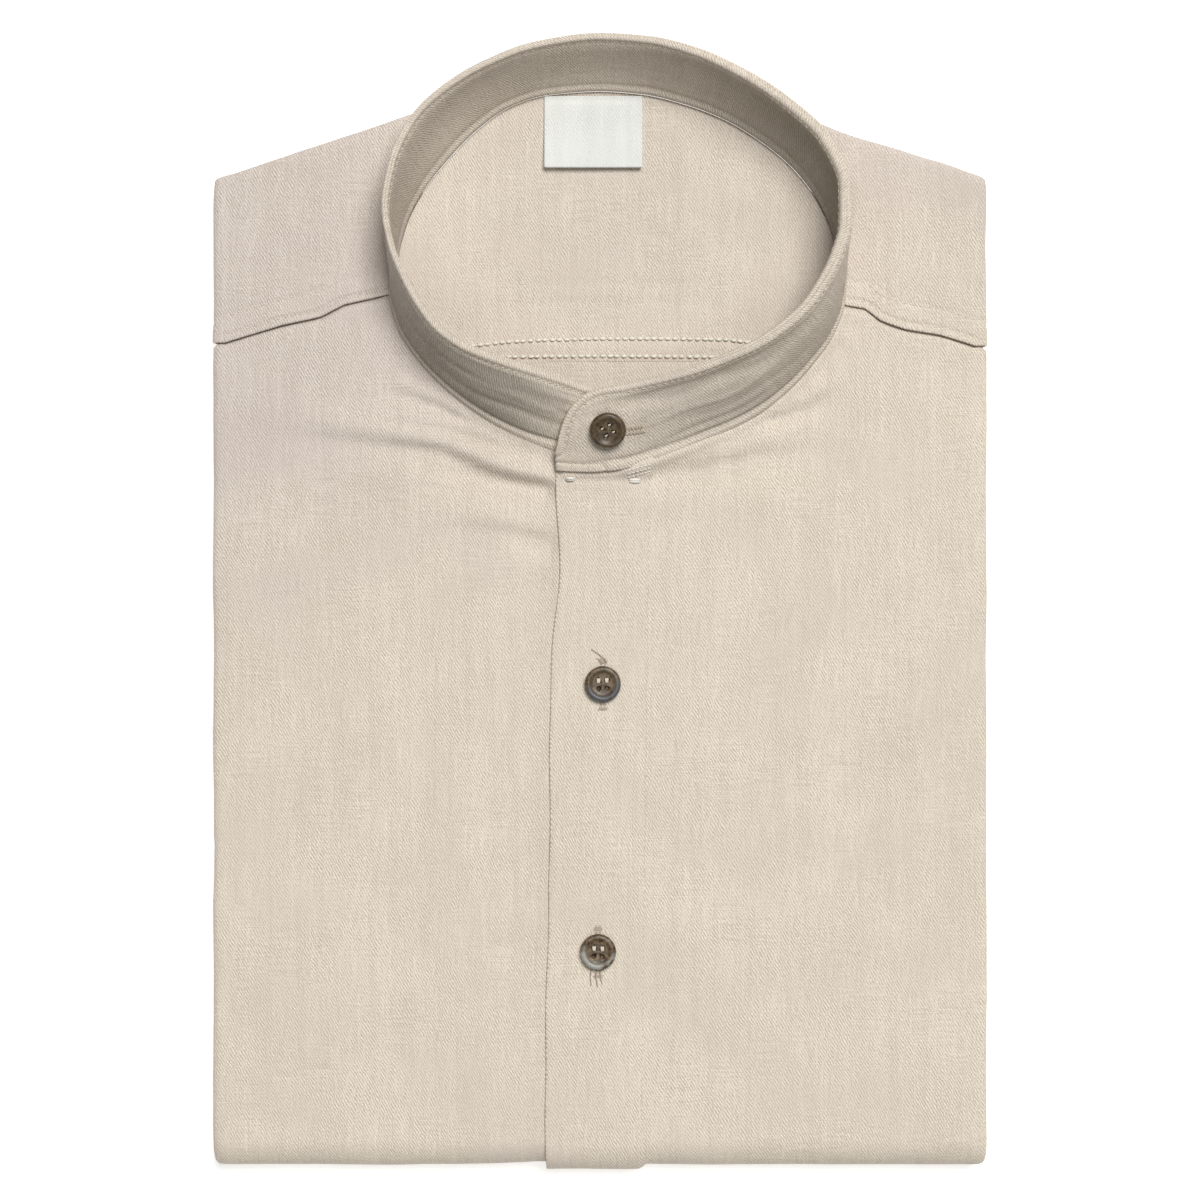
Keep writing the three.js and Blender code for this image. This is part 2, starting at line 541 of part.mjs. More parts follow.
function backGeometry() {
  const grid = (wall) =>
    Array.from({ length: BACK.columns + 1 }, (_, column) =>
      Array.from({ length: BACK.rows + 1 }, (_, row) => {
        const x = lerp(BACK.left, BACK.right, column / BACK.columns);
        const y = lerp(BACK.southY, LINING.seamY - SEAM_GAP, row / BACK.rows);
        return new THREE.Vector3(x, y, BACK.top - wall);
      }),
    );
  return sheetGeometry(grid(0), grid(WALL));
}

function labelGeometry() {
  const grid = (wall) =>
    [LABEL.left, (LABEL.left + LABEL.right) / 2, LABEL.right].map((x) =>
      Array.from({ length: LABEL.rows + 1 }, (_, row) => {
        const t = row / LABEL.rows;
        const y = lerp(LABEL.top, LABEL.bottom, t);
        const rest = Math.max(liningZ(x, y), LINING.top) + LABEL.thickness + LABEL.clearance;
        return new THREE.Vector3(x, y, rest + LABEL.lift * t * t - wall);
      }),
    );
  return sheetGeometry(grid(0), grid(LABEL.thickness));
}

// ---- Hidden layers ----
// Sleeves, sides, back and tail, folded inside: one body that follows the pack, with a lip in the groove
// at the sides.
const HIDDEN = {
  top: 2.7, // depth of its upper face
  neckTop: 5.4, // and of that face beneath the neck
  base: RETURN_DEPTH - WALL - SEAM_GAP, // down to the cloth turned under
  lipTop: RETURN_DEPTH + SEAM_GAP,
  lipBase: BOTTOM_RADIUS - 0.2,
  waist: SIDE_FLAT - SIDE_RETURN - 0.5,
  shoulder: SIDE_FLAT - 1, // where its top turns down inside the side fold
  hip: SIDE_FLAT - 0.5, // and where its base turns in again
  northInset: SIDE_RADIUS + 1.4,
  lipInset: 2,
  spread: [20, 42, 60, 74, 88, 104], // columns across its top, on each side of the middle
  // shares of the way up the shirt; closest round the clearing beneath the neck
  rows: [1, 0.96, 0.88, 0.8, 0.74, 0.69, 0.64, 0.6, 0.3, 0.03, 0],
};
// Its rounded edge inside the side fold.
const HIDDEN_NOSE = [
  { inset: 2.4, depth: 3.2 },
  { inset: 1.8, depth: 4.2 },
  { inset: 2.4, depth: 5.3 },
];
const NECK_CLEARING = { x: 5, y: 104, halfWidth: 84, halfLength: 75, soft: 0.2 };

function hiddenTop(x, y) {
  const across = (x - NECK_CLEARING.x) / NECK_CLEARING.halfWidth;
  const along = (y - NECK_CLEARING.y) / NECK_CLEARING.halfLength;
  return lerp(HIDDEN.neckTop, HIDDEN.top, smooth(1, 1 + NECK_CLEARING.soft, Math.hypot(across, along)));
}

// The section of one half of the pack, across and down, for the wearer's left; the right is its mirror
// image.
function hiddenSection() {
  const nose = HIDDEN_NOSE.map(({ inset, depth }) => ({ x: HALF_WIDTH - inset, depth }));
  const over = [...HIDDEN.spread, HIDDEN.shoulder].map((x) => ({ x, onTop: true }));
  const under = [
    { x: HIDDEN.hip, depth: HIDDEN.base },
    { x: HIDDEN.waist, depth: HIDDEN.base },
    { x: HIDDEN.waist, depth: HIDDEN.lipTop },
    { x: HALF_WIDTH - HIDDEN.lipInset, depth: HIDDEN.lipTop },
    { x: HALF_WIDTH - HIDDEN.lipInset, depth: HIDDEN.lipBase },
  ];
  const half = [...over, ...nose, ...under];
  const mirrored = half.map((p) => ({ ...p, x: -p.x })).reverse();
  return [...half, ...mirrored];
}

// How far toward the collar the upper half reaches at one place across.
function shoulderY(x) {
  return between(YOKE_EDGE.filter((spoke) => spoke.outY > 0).reverse(), "x", x, "y");
}

function hiddenGeometry() {
  const section = hiddenSection();
  const rows = [
    ...HIDDEN.rows.map((t) => (p) => lerp(BOTTOM_CENTRE_Y, shoulderY(p.x) - HIDDEN.northInset, t)),
    ...lowerRows(HEM_ALONG + HIDDEN.lipInset).map((along) => () => along),
  ];
  const loops = rows.map((alongAt) =>
    section.map((p) => {
      const along = alongAt(p);
      return flatPackPoint(p.x, along, p.onTop ? hiddenTop(p.x, along) : p.depth);
    }),
  );
  return tubeGeometry(loops);
}

// A point inside the pack, without the turn at the side folds.
function flatPackPoint(x, along, depth) {
  const point = packPoint(0, along, depth);
  point.x = x;
  return point;
}

// A closed solid through a row of loops, with flat ends triangulated across.
function tubeGeometry(loops) {
  const count = loops[0].length;
  const points = loops.flat();
  const faces = [];
  for (let i = 0; i + 1 < loops.length; i++) {
    for (let j = 0; j < count; j++) {
      const next = (j + 1) % count;
      const [a, b, c, d] = [i * count + j, i * count + next, (i + 1) * count + next, (i + 1) * count + j];
      faces.push(a, b, c, a, c, d);
    }
  }
  [0, loops.length - 1].forEach((end) => {
    const flat = loops[end].map((p) => new THREE.Vector2(p.x, p.z));
    const first = end * count;
    THREE.ShapeUtils.triangulateShape(flat, []).forEach(([a, b, c]) => {
      const turned = end === 0 ? [a, c, b] : [a, b, c];
      faces.push(...turned.map((n) => first + n));
    });
  });
  return facingOut(points, orientEnds(faces, loops.length, count));
}

// Each end's triangles are turned so that every edge is shared by two faces that run along it in opposite
// ways.
function orientEnds(faces, loopCount, count) {
  const sideFaces = (loopCount - 1) * count * 6;
  const directed = new Set();
  for (let i = 0; i < sideFaces; i += 3) {
    for (let k = 0; k < 3; k++) directed.add(faces[i + k] + "," + faces[i + ((k + 1) % 3)]);
  }
  const result = faces.slice(0, sideFaces);
  const capFaces = (count - 2) * 3;
  const caps = [faces.slice(sideFaces, sideFaces + capFaces), faces.slice(sideFaces + capFaces)];
  caps.forEach((cap) => {
    const clashes = cap.some((_, i) => {
      const next = i % 3 === 2 ? i - 2 : i + 1;
      return directed.has(cap[i] + "," + cap[next]);
    });
    result.push(...(clashes ? cap.slice().reverse() : cap));
  });
  return result;
}

// ---- Buttons ----
const wasm = await Module();
wasm.setup();
const WELD = 1e-4;

function solidOf(geometry) {
  const plain = geometry.clone();
  plain.deleteAttribute("normal");
  plain.deleteAttribute("uv");
  const merged = mergeVertices(plain, WELD);
  return new wasm.Manifold(
    new wasm.Mesh({
      numProp: 3,
      vertProperties: merged.attributes.position.array,
      triVerts: new Uint32Array(merged.index.array),
    }),
  );
}

function geometryOf(solid) {
  const mesh = solid.getMesh();
  const geometry = new THREE.BufferGeometry();
  geometry.setAttribute("position", new THREE.BufferAttribute(mesh.vertProperties, 3));
  geometry.setIndex(new THREE.BufferAttribute(mesh.triVerts, 1));
  return geometry;
}

// A four-hole button, its back at z = 0, with a raised rim round a dished middle.
function buttonGeometry() {
  const radius = BUTTON.diameter / 2;
  const inner = radius - BUTTON.rimWidth;
  const profile = [
    [0, 0],
    [radius - BUTTON.backInset, 0],
    [radius, BUTTON.backRise],
    [radius, BUTTON.thickness - BUTTON.edgeRound],
    [radius - BUTTON.edgeRound, BUTTON.thickness],
    [inner + BUTTON.dishStart, BUTTON.thickness],
    [inner - BUTTON.dishEnd, BUTTON.thickness - BUTTON.dish],
    [0, BUTTON.thickness - BUTTON.dish],
  ].map(([x, y]) => new THREE.Vector2(x, y));
  const blank = new THREE.LatheGeometry(profile, BUTTON.sides).rotateX(Math.PI / 2);
  let solid = solidOf(blank);
  const half = BUTTON.holeSpacing / 2;
  const holeRadius = BUTTON.holeDiameter / 2;
  for (const [x, y] of [[-half, -half], [half, -half], [-half, half], [half, half]]) {
    const drill = new THREE.CylinderGeometry(holeRadius, holeRadius, 3 * BUTTON.thickness, BUTTON.holeSides);
    solid = solid.subtract(solidOf(drill.rotateX(Math.PI / 2).translate(x, y, BUTTON.thickness / 2)));
  }
  return geometryOf(solid);
}

const FRONT_BUTTONS = [
  { name: "front_button_1", x: 0.9, y: -24 },
  { name: "front_button_2", x: -0.6, y: -108.8 },
];
// On the tab: share is its height on the band at that station, shift and rise move it along the band and
// up it, and lift holds its back clear of the cloth.
const COLLAR_BUTTON = { station: 4, share: 0.5, shift: 1.5, rise: 0.5, lift: 0.6 };

// ---- The shirt ----
const group = new THREE.Group();

function add(name, geometry, finish) {
  const mesh = new THREE.Mesh(geometry, new THREE.MeshStandardMaterial(finish));
  mesh.name = name;
  group.add(mesh);
  return mesh;
}

add("right_front", rightFront(), FINISHES.cloth);
add("left_front", leftFront(), FINISHES.cloth);
add("placket", placketGeometry(), FINISHES.cloth);
add("yoke", yokeGeometry(), FINISHES.cloth);
add("yoke_lining", liningGeometry(), FINISHES.lining);
add("back", backGeometry(), FINISHES.lining);
add("collar_outer", collarWall(0, 1), FINISHES.collar);
add("collar_inner", collarWall(WALL + SEAM_GAP, INNER_WALL_SHARE), FINISHES.collar);
add("neck_label", labelGeometry(), FINISHES.label);
add("folded_layers", hiddenGeometry(), FINISHES.cloth);

for (const { name, x, y } of FRONT_BUTTONS) {
  const button = add(name, buttonGeometry(), FINISHES.button);
  button.position.set(x, y, THICKNESS + PLACKET.proud + SEAM_GAP);
}

const collarButton = add("collar_button", buttonGeometry(), FINISHES.button);
const tabRow = COLLAR[COLLAR_BUTTON.station];
const tabAlong = collarAlong(COLLAR_BUTTON.station).normalize();
const tabUp = collarTop(tabRow).sub(collarBase(tabRow)).normalize();
const tabOut = tabAlong.clone().cross(tabUp).normalize();
collarButton.position
  .copy(collarPoint(COLLAR_BUTTON.station, COLLAR_BUTTON.share, 0))
  .addScaledVector(tabAlong, COLLAR_BUTTON.shift)
  .addScaledVector(tabUp, COLLAR_BUTTON.rise)
  .addScaledVector(tabOut, COLLAR_BUTTON.lift);
collarButton.quaternion.setFromUnitVectors(new THREE.Vector3(0, 0, 1), tabOut);

export default group;
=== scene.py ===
import math

import bmesh
import bpy
import numpy as np
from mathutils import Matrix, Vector


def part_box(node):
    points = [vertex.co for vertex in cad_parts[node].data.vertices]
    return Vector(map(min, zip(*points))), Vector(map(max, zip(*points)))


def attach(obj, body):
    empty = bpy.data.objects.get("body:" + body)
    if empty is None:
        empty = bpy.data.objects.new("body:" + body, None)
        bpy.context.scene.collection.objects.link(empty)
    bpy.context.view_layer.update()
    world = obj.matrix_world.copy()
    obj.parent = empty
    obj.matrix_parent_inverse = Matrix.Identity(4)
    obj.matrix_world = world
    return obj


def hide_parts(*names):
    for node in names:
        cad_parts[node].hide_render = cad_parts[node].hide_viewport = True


# The looks of the folded mandarin collar shirt. Tables and lengths are in millimetres, and meshes in metres.
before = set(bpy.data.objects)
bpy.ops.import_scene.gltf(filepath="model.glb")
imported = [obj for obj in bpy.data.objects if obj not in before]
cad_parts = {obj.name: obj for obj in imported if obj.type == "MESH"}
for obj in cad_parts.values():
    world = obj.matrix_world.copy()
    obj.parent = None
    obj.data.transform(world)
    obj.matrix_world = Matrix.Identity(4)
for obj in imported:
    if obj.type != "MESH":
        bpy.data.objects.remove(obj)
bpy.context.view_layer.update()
MM = 0.001
rng = np.random.default_rng(20261120)

# ---- The folded pack ----
THICKNESS = 18.0
HALF_WIDTH = 122.8
BOTTOM_FOLD_Y = -177.6
HEM_Y = 125.0
WALL = 1.0
BOTTOM_RADIUS = THICKNESS / 2
BOTTOM_CENTRE_Y = BOTTOM_FOLD_Y + BOTTOM_RADIUS
FOLD_TURN = math.pi * BOTTOM_RADIUS
SIDE_RADIUS = 3.9
SIDE_FLAT = HALF_WIDTH - SIDE_RADIUS
SIDE_TURN = math.pi * SIDE_RADIUS
SIDE_RETURN = 10.0
RETURN_DEPTH = 2 * SIDE_RADIUS
SHOULDER_RETURN = 0.8
HEM_ALONG = BOTTOM_CENTRE_Y - FOLD_TURN - (HEM_Y - BOTTOM_CENTRE_Y)
PLACKET = dict(left=-14.2, right=16.0, proud=0.4, thickness=1.2, bulge=1.3, lean=-2.8)
COLLAR_FRONT_Y = 43.6

# Station by station: baseX, baseY, baseZ, topX, topY, topZ, belly.
COLLAR = np.array([
    [-13.6, 43.6, 20.7, -13.9, 50.0, 23.2, 0.0],
    [-11.0, 43.3, 20.8, -12.2, 57.2, 25.7, 0.1],
    [-7.5, 43.1, 20.9, -9.6, 62.5, 27.5, 0.2],
    [-3.5, 43.0, 20.9, -5.0, 66.8, 29.1, 0.3],
    [1.5, 43.2, 20.9, 0.5, 68.9, 30.0, 0.4],
    [8.0, 44.0, 20.6, 5.5, 69.6, 30.6, 0.4],
    [16.0, 46.3, 19.8, 11.5, 70.6, 31.4, 0.4],
    [25.0, 49.5, 18.9, 18.5, 71.9, 33.2, 0.4],
    [35.0, 53.6, 18.4, 26.5, 73.6, 35.4, 0.5],
    [44.4, 57.8, 18.3, 35.0, 76.2, 37.4, 0.6],
    [53.0, 63.0, 18.3, 42.5, 79.0, 39.2, 0.8],
    [61.0, 69.8, 18.3, 49.5, 82.0, 40.6, 0.9],
    [68.2, 78.0, 18.3, 57.3, 86.9, 42.0, 1.0],
    [74.2, 86.8, 18.2, 64.3, 92.8, 43.0, 1.0],
    [77.4, 96.5, 18.0, 69.6, 99.8, 43.7, 1.1],
    [77.9, 107.0, 17.4, 74.5, 108.5, 44.0, 1.2],
    [76.4, 118.0, 16.6, 77.9, 119.5, 43.8, 1.2],
    [71.6, 129.4, 16.0, 78.2, 132.2, 42.8, 1.0],
    [63.3, 140.6, 15.6, 71.8, 147.4, 42.0, 0.7],
    [52.8, 149.6, 15.4, 60.2, 158.3, 41.6, 0.5],
    [39.8, 157.4, 15.3, 44.6, 168.2, 41.1, 0.4],
    [26.2, 162.4, 15.3, 29.5, 174.8, 40.6, 0.4],
    [13.2, 165.3, 15.3, 14.8, 178.2, 40.3, 0.4],
    [-0.5, 166.2, 15.3, -0.5, 179.1, 40.2, 0.4],
    [-17.5, 164.9, 15.3, -20.0, 176.4, 40.6, 0.4],
    [-29.7, 161.0, 15.3, -34.0, 171.4, 40.9, 0.4],
    [-40.0, 153.8, 15.3, -46.9, 164.2, 41.0, 0.4],
    [-49.6, 144.1, 15.5, -58.4, 153.6, 41.5, 0.5],
    [-58.6, 132.5, 15.9, -65.6, 138.5, 42.4, 0.6],
    [-63.8, 122.0, 16.4, -67.7, 125.0, 43.2, 0.8],
    [-66.4, 111.0, 17.2, -65.6, 113.0, 43.8, 0.8],
    [-66.8, 100.2, 17.9, -61.6, 103.2, 43.9, 0.8],
    [-64.4, 89.6, 18.2, -56.6, 94.2, 43.6, 0.8],
    [-58.6, 79.8, 18.2, -50.4, 86.4, 42.8, 0.9],
    [-51.2, 71.4, 18.2, -42.2, 81.0, 41.2, 1.1],
    [-43.6, 64.8, 18.1, -34.0, 78.0, 39.0, 1.5],
    [-34.8, 58.8, 18.0, -25.2, 75.6, 36.2, 1.8],
    [-25.4, 53.9, 17.8, -16.8, 73.4, 33.0, 1.8],
    [-16.0, 50.4, 17.5, -9.3, 71.2, 29.2, 1.0],
    [-7.0, 48.2, 17.2, -2.6, 69.0, 26.8, 0.0],
    [2.0, 46.6, 17.1, 5.0, 66.6, 25.6, -0.2],
    [9.0, 46.0, 17.1, 11.0, 65.6, 25.4, -0.2],
])
LAST_STATION = len(COLLAR) - 1
PLACKET_STATION = 6
LEFT_SEAM_STATION = 14
RIGHT_SEAM_STATION = 31

LEFT_YOKE_SEAM = np.array([[84.0, 95.4], [89.0, 91.6], [97.0, 88.8], [108.0, 87.0], [SIDE_FLAT, 83.6]])
RIGHT_YOKE_SEAM = np.array([[-72.0, 98.6], [-81.0, 96.6], [-88.5, 92.8], [-101.0, 90.0], [-SIDE_FLAT, 84.6]])

# station, x, y, outX, outY, top
YOKE_EDGE = np.array([
    [14, HALF_WIDTH, 83.6, 1, 0, 18.0],
    [15, HALF_WIDTH, 99.0, 1, 0, 18.0],
    [16, HALF_WIDTH, 116.0, 1, 0, 18.0],
    [16.7, HALF_WIDTH, 129.0, 1, 0, 18.0],
    [17, 122.4, 135.8, 0.86, 0.95, 18.0],
    [17.4, 115.6, 138.9, 0.31, 0.95, 18.0],
    [18, 100.0, 144.1, 0.3, 0.95, 18.0],
    [19, 80.0, 150.2, 0.31, 0.95, 17.8],
    [20, 54.0, 160.0, 0.4, 0.92, 17.0],
    [21, 32.0, 168.4, 0.3, 0.95, 16.2],
    [22, 15.0, 171.7, 0.12, 0.99, 15.9],
    [23, -1.0, 172.4, 0, 1, 15.8],
    [24, -19.0, 171.2, -0.18, 0.98, 15.9],
    [25, -33.0, 167.4, -0.34, 0.94, 16.3],
    [26, -47.0, 161.8, -0.35, 0.94, 17.0],
    [27, -65.0, 155.1, -0.32, 0.95, 17.8],
    [28, -88.0, 147.6, -0.31, 0.95, 18.0],
    [28.6, -115.0, 138.4, -0.31, 0.95, 18.0],
    [29, -122.2, 135.8, -0.86, 0.95, 18.0],
    [29.3, -HALF_WIDTH, 129.0, -1, 0, 18.0],
    [30, -HALF_WIDTH, 114.0, -1, 0, 18.0],
    [30.5, -HALF_WIDTH, 100.0, -1, 0, 18.0],
    [31, -HALF_WIDTH, 84.6, -1, 0, 18.0],
])

LINING_TOP = 14.2
LINING_SEAM_Y = 78.6
LINING_SLOPE = 14.0
BACK = dict(top=13.9, north=82.0, south=54.0, left=-42.0, right=48.0)
LABEL = dict(left=-17.4, right=13.2, top=162.3, bottom=140.2, lift=1.7, thickness=0.8)
UNDERLAP = np.array([[-60.0, 0.0], [-38.0, 0.2], [-22.0, 0.6], [-14.5, 1.0], [16.0, 1.0]])


# ---- Helpers ----
def lerp(a, b, t):
    return a + (b - a) * t


def smooth(low, high, value):
    t = np.clip((value - low) / (high - low), 0, 1)
    return t * t * (3 - 2 * t)


def hump(value, centre, width):
    return np.exp(-(((value - centre) / width) ** 2))


def curve(keys, values, at):
    """A smooth curve through a table that doesn't overshoot its rows. Values may have several columns."""
    keys, values, at = np.asarray(keys, float), np.asarray(values, float), np.asarray(at, float)
    steps = np.diff(keys)
    shape = (-1,) + (1,) * (values.ndim - 1)
    slopes = np.diff(values, axis=0) / steps.reshape(shape)
    before, after = slopes[:-1], slopes[1:]
    same = before * after > 0
    total = np.where(same, before + after, 1.0)
    inner = np.where(same, 2 * before * after / total, 0.0)
    tangents = np.concatenate([slopes[:1], inner, slopes[-1:]])
    i = np.clip(np.searchsorted(keys, at, side="right") - 1, 0, len(keys) - 2)
    wide = at.shape + (1,) * (values.ndim - 1)
    h = steps[i].reshape(wide)
    t = np.clip((at - keys[i]) / steps[i], 0, 1).reshape(wide)
    return (
        (1 + 2 * t) * (1 - t) ** 2 * values[i]
        + t * (1 - t) ** 2 * h * tangents[i]
        + t * t * (3 - 2 * t) * values[i + 1]
        + t * t * (t - 1) * h * tangents[i + 1]
    )


def unit(v):
    return v / np.maximum(np.linalg.norm(v, axis=-1, keepdims=True), 1e-12)


def arc(points):
    """The distance along a row of points, from its first one."""
    return np.concatenate([[0.0], np.cumsum(np.linalg.norm(np.diff(points, axis=0), axis=1))])


def respaced(points, spacing):
    run = arc(points)
    at = np.linspace(0, run[-1], max(2, int(round(run[-1] / spacing)) + 1))
    return np.stack([np.interp(at, run, points[:, k]) for k in range(points.shape[1])], 1)


def ripple(x, y, seed, size, count=7):
    """A gentle random wave between about -1 and 1, of roughly the given size."""
    draw = np.random.default_rng(seed)
    total = np.zeros(np.broadcast(x, y).shape)
    for _ in range(count):
        angle, phase = draw.uniform(0, 2 * math.pi), draw.uniform(0, 2 * math.pi)
        stretch = draw.uniform(0.6, 1.6)
        across = x * math.cos(angle) + y * math.sin(angle)
        total += np.sin(across * 2 * math.pi / (size * stretch) + phase)
    return total / math.sqrt(count)


def wave(run, pitch):
    return np.sin(run * 2 * math.pi / pitch)


def from_line(x, y, line):
    """Distance from a line of points, and the distance run along it."""
    best, at = np.full(np.shape(x), 1e9), np.zeros(np.shape(x))
    runs = arc(line)
    for k in range(len(line) - 1):
        a, b = line[k], line[k + 1]
        run = b - a
        t = np.clip(((x - a[0]) * run[0] + (y - a[1]) * run[1]) / (run @ run), 0, 1)
        off = np.hypot(x - a[0] - t * run[0], y - a[1] - t * run[1])
        closer = off < best
        best = np.where(closer, off, best)
        at = np.where(closer, runs[k] + t * (runs[k + 1] - runs[k]), at)
    return best, at


FOLD_SQUARENESS = 3.8


def squarish(angle):
    """How much further than a circle a pressed fold reaches, at each angle round it."""
    n = FOLD_SQUARENESS
    return (np.abs(np.sin(angle)) ** n + np.abs(np.cos(angle)) ** n) ** (-1 / n)


def pack_point(across, along, depth):
    across, along, depth = np.broadcast_arrays(across, along, depth)
    side = np.sign(across)
    past = np.abs(across) - SIDE_FLAT
    angle = np.clip(past, 0, SIDE_TURN) / SIDE_RADIUS
    over = np.maximum(past - SIDE_TURN, 0)
    turned = past > 0
    arm = (SIDE_RADIUS - depth) * squarish(angle)
    x = np.where(turned, side * (SIDE_FLAT + arm * np.sin(angle) - over), across)
    deep = np.where(turned, SIDE_RADIUS - arm * np.cos(angle), depth)
    past_fold = BOTTOM_CENTRE_Y - along
    turn = np.clip(past_fold, 0, FOLD_TURN) / BOTTOM_RADIUS
    reach = BOTTOM_RADIUS - deep
    y = np.where(
        past_fold <= 0,
        along,
        BOTTOM_CENTRE_Y - reach * np.sin(turn) + np.maximum(past_fold - FOLD_TURN, 0),
    )
    z = BOTTOM_RADIUS + reach * np.cos(turn)
    return np.stack([x, y, z], -1)


def leaned(x, along):
    share = np.clip((COLLAR_FRONT_Y - along) / (COLLAR_FRONT_Y - BOTTOM_CENTRE_Y), 0, 1)
    return x + PLACKET["lean"] * share * (1 - smooth(16.3, 61.4, np.abs(x)))


def edge_wander(x, along):
    """The placket's free edge isn't quite straight below the collar."""
    near_edge = 1 - smooth(PLACKET["left"], PLACKET["left"] + 11, x)
    return near_edge * (2.0 * hump(along, 13, 21) + 0.25 * np.sin(along / 17.0) + 0.15 * np.sin(along / 6.1))


# ---- Meshes ----
def add_attribute(mesh, name, values):
    values = np.asarray(values, np.float32)
    kind, field = ("FLOAT_VECTOR", "vector") if values.ndim == 2 else ("FLOAT", "value")
    mesh.attributes.new(name, kind, "POINT").data.foreach_set(field, values.ravel())


def mesh_object(name, points, faces, attributes):
    """A smooth object from points in millimetres. Its cloth attribute holds each point's place on flat cloth."""
    mesh = bpy.data.meshes.new(name)
    mesh.from_pydata((np.asarray(points) * MM).tolist(), [], faces)
    for key, values in attributes.items():
        add_attribute(mesh, key, values)
    mesh.polygons.foreach_set("use_smooth", np.ones(len(mesh.polygons), bool))
    mesh.update()
    obj = bpy.data.objects.new(name, mesh)
    bpy.context.collection.objects.link(obj)
    return obj


def joined_object(name, parts):
    """One object from several meshes, each given by its points, faces and cloth coordinates."""
    points, faces, coords = [], [], []
    start = 0
    for part_points, part_faces, part_coords in parts:
        points.append(part_points)
        faces += [[i + start for i in face] for face in part_faces]
        coords.append(part_coords)
        start += len(part_points)
    return mesh_object(name, np.concatenate(points), faces, {"cloth": np.concatenate(coords)})


def grid_normals(points):
    return unit(np.cross(np.gradient(points, axis=0), np.gradient(points, axis=1)))


def faces_down(points):
    """Whether a grid's rows and columns run so that its middle would face down."""
    rows, columns = points.shape[:2]
    return grid_normals(points)[rows // 2, columns // 2, 2] < 0


EDGE_TURNS = 4  # steps round a cut edge


def shell(points, thickness, cloth, flip):
    """A closed sheet of cloth with rounded edges. The grid is its outer face. Its inner face lies below."""
    rows, columns = points.shape[:2]
    thickness = np.broadcast_to(np.asarray(thickness, float), (rows, columns))
    normals = grid_normals(points) * (-1 if flip else 1)
    inner = points - normals * thickness[..., None]
    ring = [(i, 0) for i in range(rows)] + [(rows - 1, j) for j in range(1, columns)]
    ring += [(i, columns - 1) for i in range(rows - 2, -1, -1)] + [(0, j) for j in range(columns - 2, 0, -1)]
    ri, rj = np.array(ring).T
    out = np.zeros((len(ring), 3))
    for axis, place, last in ((0, ri, rows - 1), (1, rj, columns - 1)):
        slope = unit(np.gradient(points, axis=axis)[ri, rj])
        out[place == 0] -= slope[place == 0]
        out[place == last] += slope[place == last]
    rim_normals = normals[ri, rj]
    out = unit(out - rim_normals * (out * rim_normals).sum(1, keepdims=True))
    half = thickness[ri, rj][:, None] / 2
    centre = points[ri, rj] - rim_normals * half
    turns = [math.pi * n / EDGE_TURNS for n in range(1, EDGE_TURNS)]
    rims = [centre + half * (math.cos(angle) * rim_normals + math.sin(angle) * out) for angle in turns]
    count = rows * columns
    index = np.arange(count).reshape(rows, columns)
    a, b, c, d = index[:-1, :-1], index[1:, :-1], index[1:, 1:], index[:-1, 1:]
    top = np.stack([a, b, c, d], -1).reshape(-1, 4)
    low = np.stack([a, d, c, b], -1).reshape(-1, 4) + count
    edge = index[ri, rj]
    starts = [2 * count + n * len(ring) for n in range(len(rims))]
    loops = [edge] + [start + np.arange(len(ring)) for start in starts] + [edge + count]
    sides = [
        np.stack([upper, lower, np.roll(lower, -1), np.roll(upper, -1)], -1)
        for upper, lower in zip(loops, loops[1:])
    ]
    faces = np.concatenate([top, low] + sides)
    if flip:
        faces = faces[:, ::-1]
    flat = np.column_stack([cloth.reshape(-1, 2), np.zeros(count)])
    coords = np.concatenate([flat, flat] + [flat[edge]] * len(rims))
    return np.concatenate([points.reshape(-1, 3), inner.reshape(-1, 3)] + rims), faces.tolist(), coords


def cloth_piece(name, points, thickness, cloth, flip=None):
    """An object for a sheet of cloth, and the normals of its outer face."""
    flip = faces_down(points) if flip is None else flip
    piece = joined_object(name, [shell(points, thickness, cloth, flip)])
    return piece, grid_normals(points) * (-1 if flip else 1)


# ---- Collar ----
STATIONS = np.arange(LAST_STATION + 1.0)
BASE, TOP = slice(0, 3), slice(3, 6)


def collar_line(edge, stations):
    """Points on the collar's base or top."""
    return curve(STATIONS, COLLAR[:, edge], stations)


def collar_frame(station):
    """Base, direction up the band, outward direction, height and belly at any places along the collar."""
    row = curve(STATIONS, COLLAR, station)
    step = 0.02
    ahead = curve(STATIONS, COLLAR, np.minimum(station + step, LAST_STATION))
    behind = curve(STATIONS, COLLAR, np.maximum(station - step, 0))
    along = unit((ahead - behind)[..., :3] + (ahead - behind)[..., 3:6])
    rise = row[..., 3:6] - row[..., :3]
    height = np.linalg.norm(rise, axis=-1)
    up = rise / height[..., None]
    out = unit(np.cross(along, up))
    return row[..., :3], up, out, height, row[..., 6], along


BAND = 2.3
BASE_GROOVE = 0.75
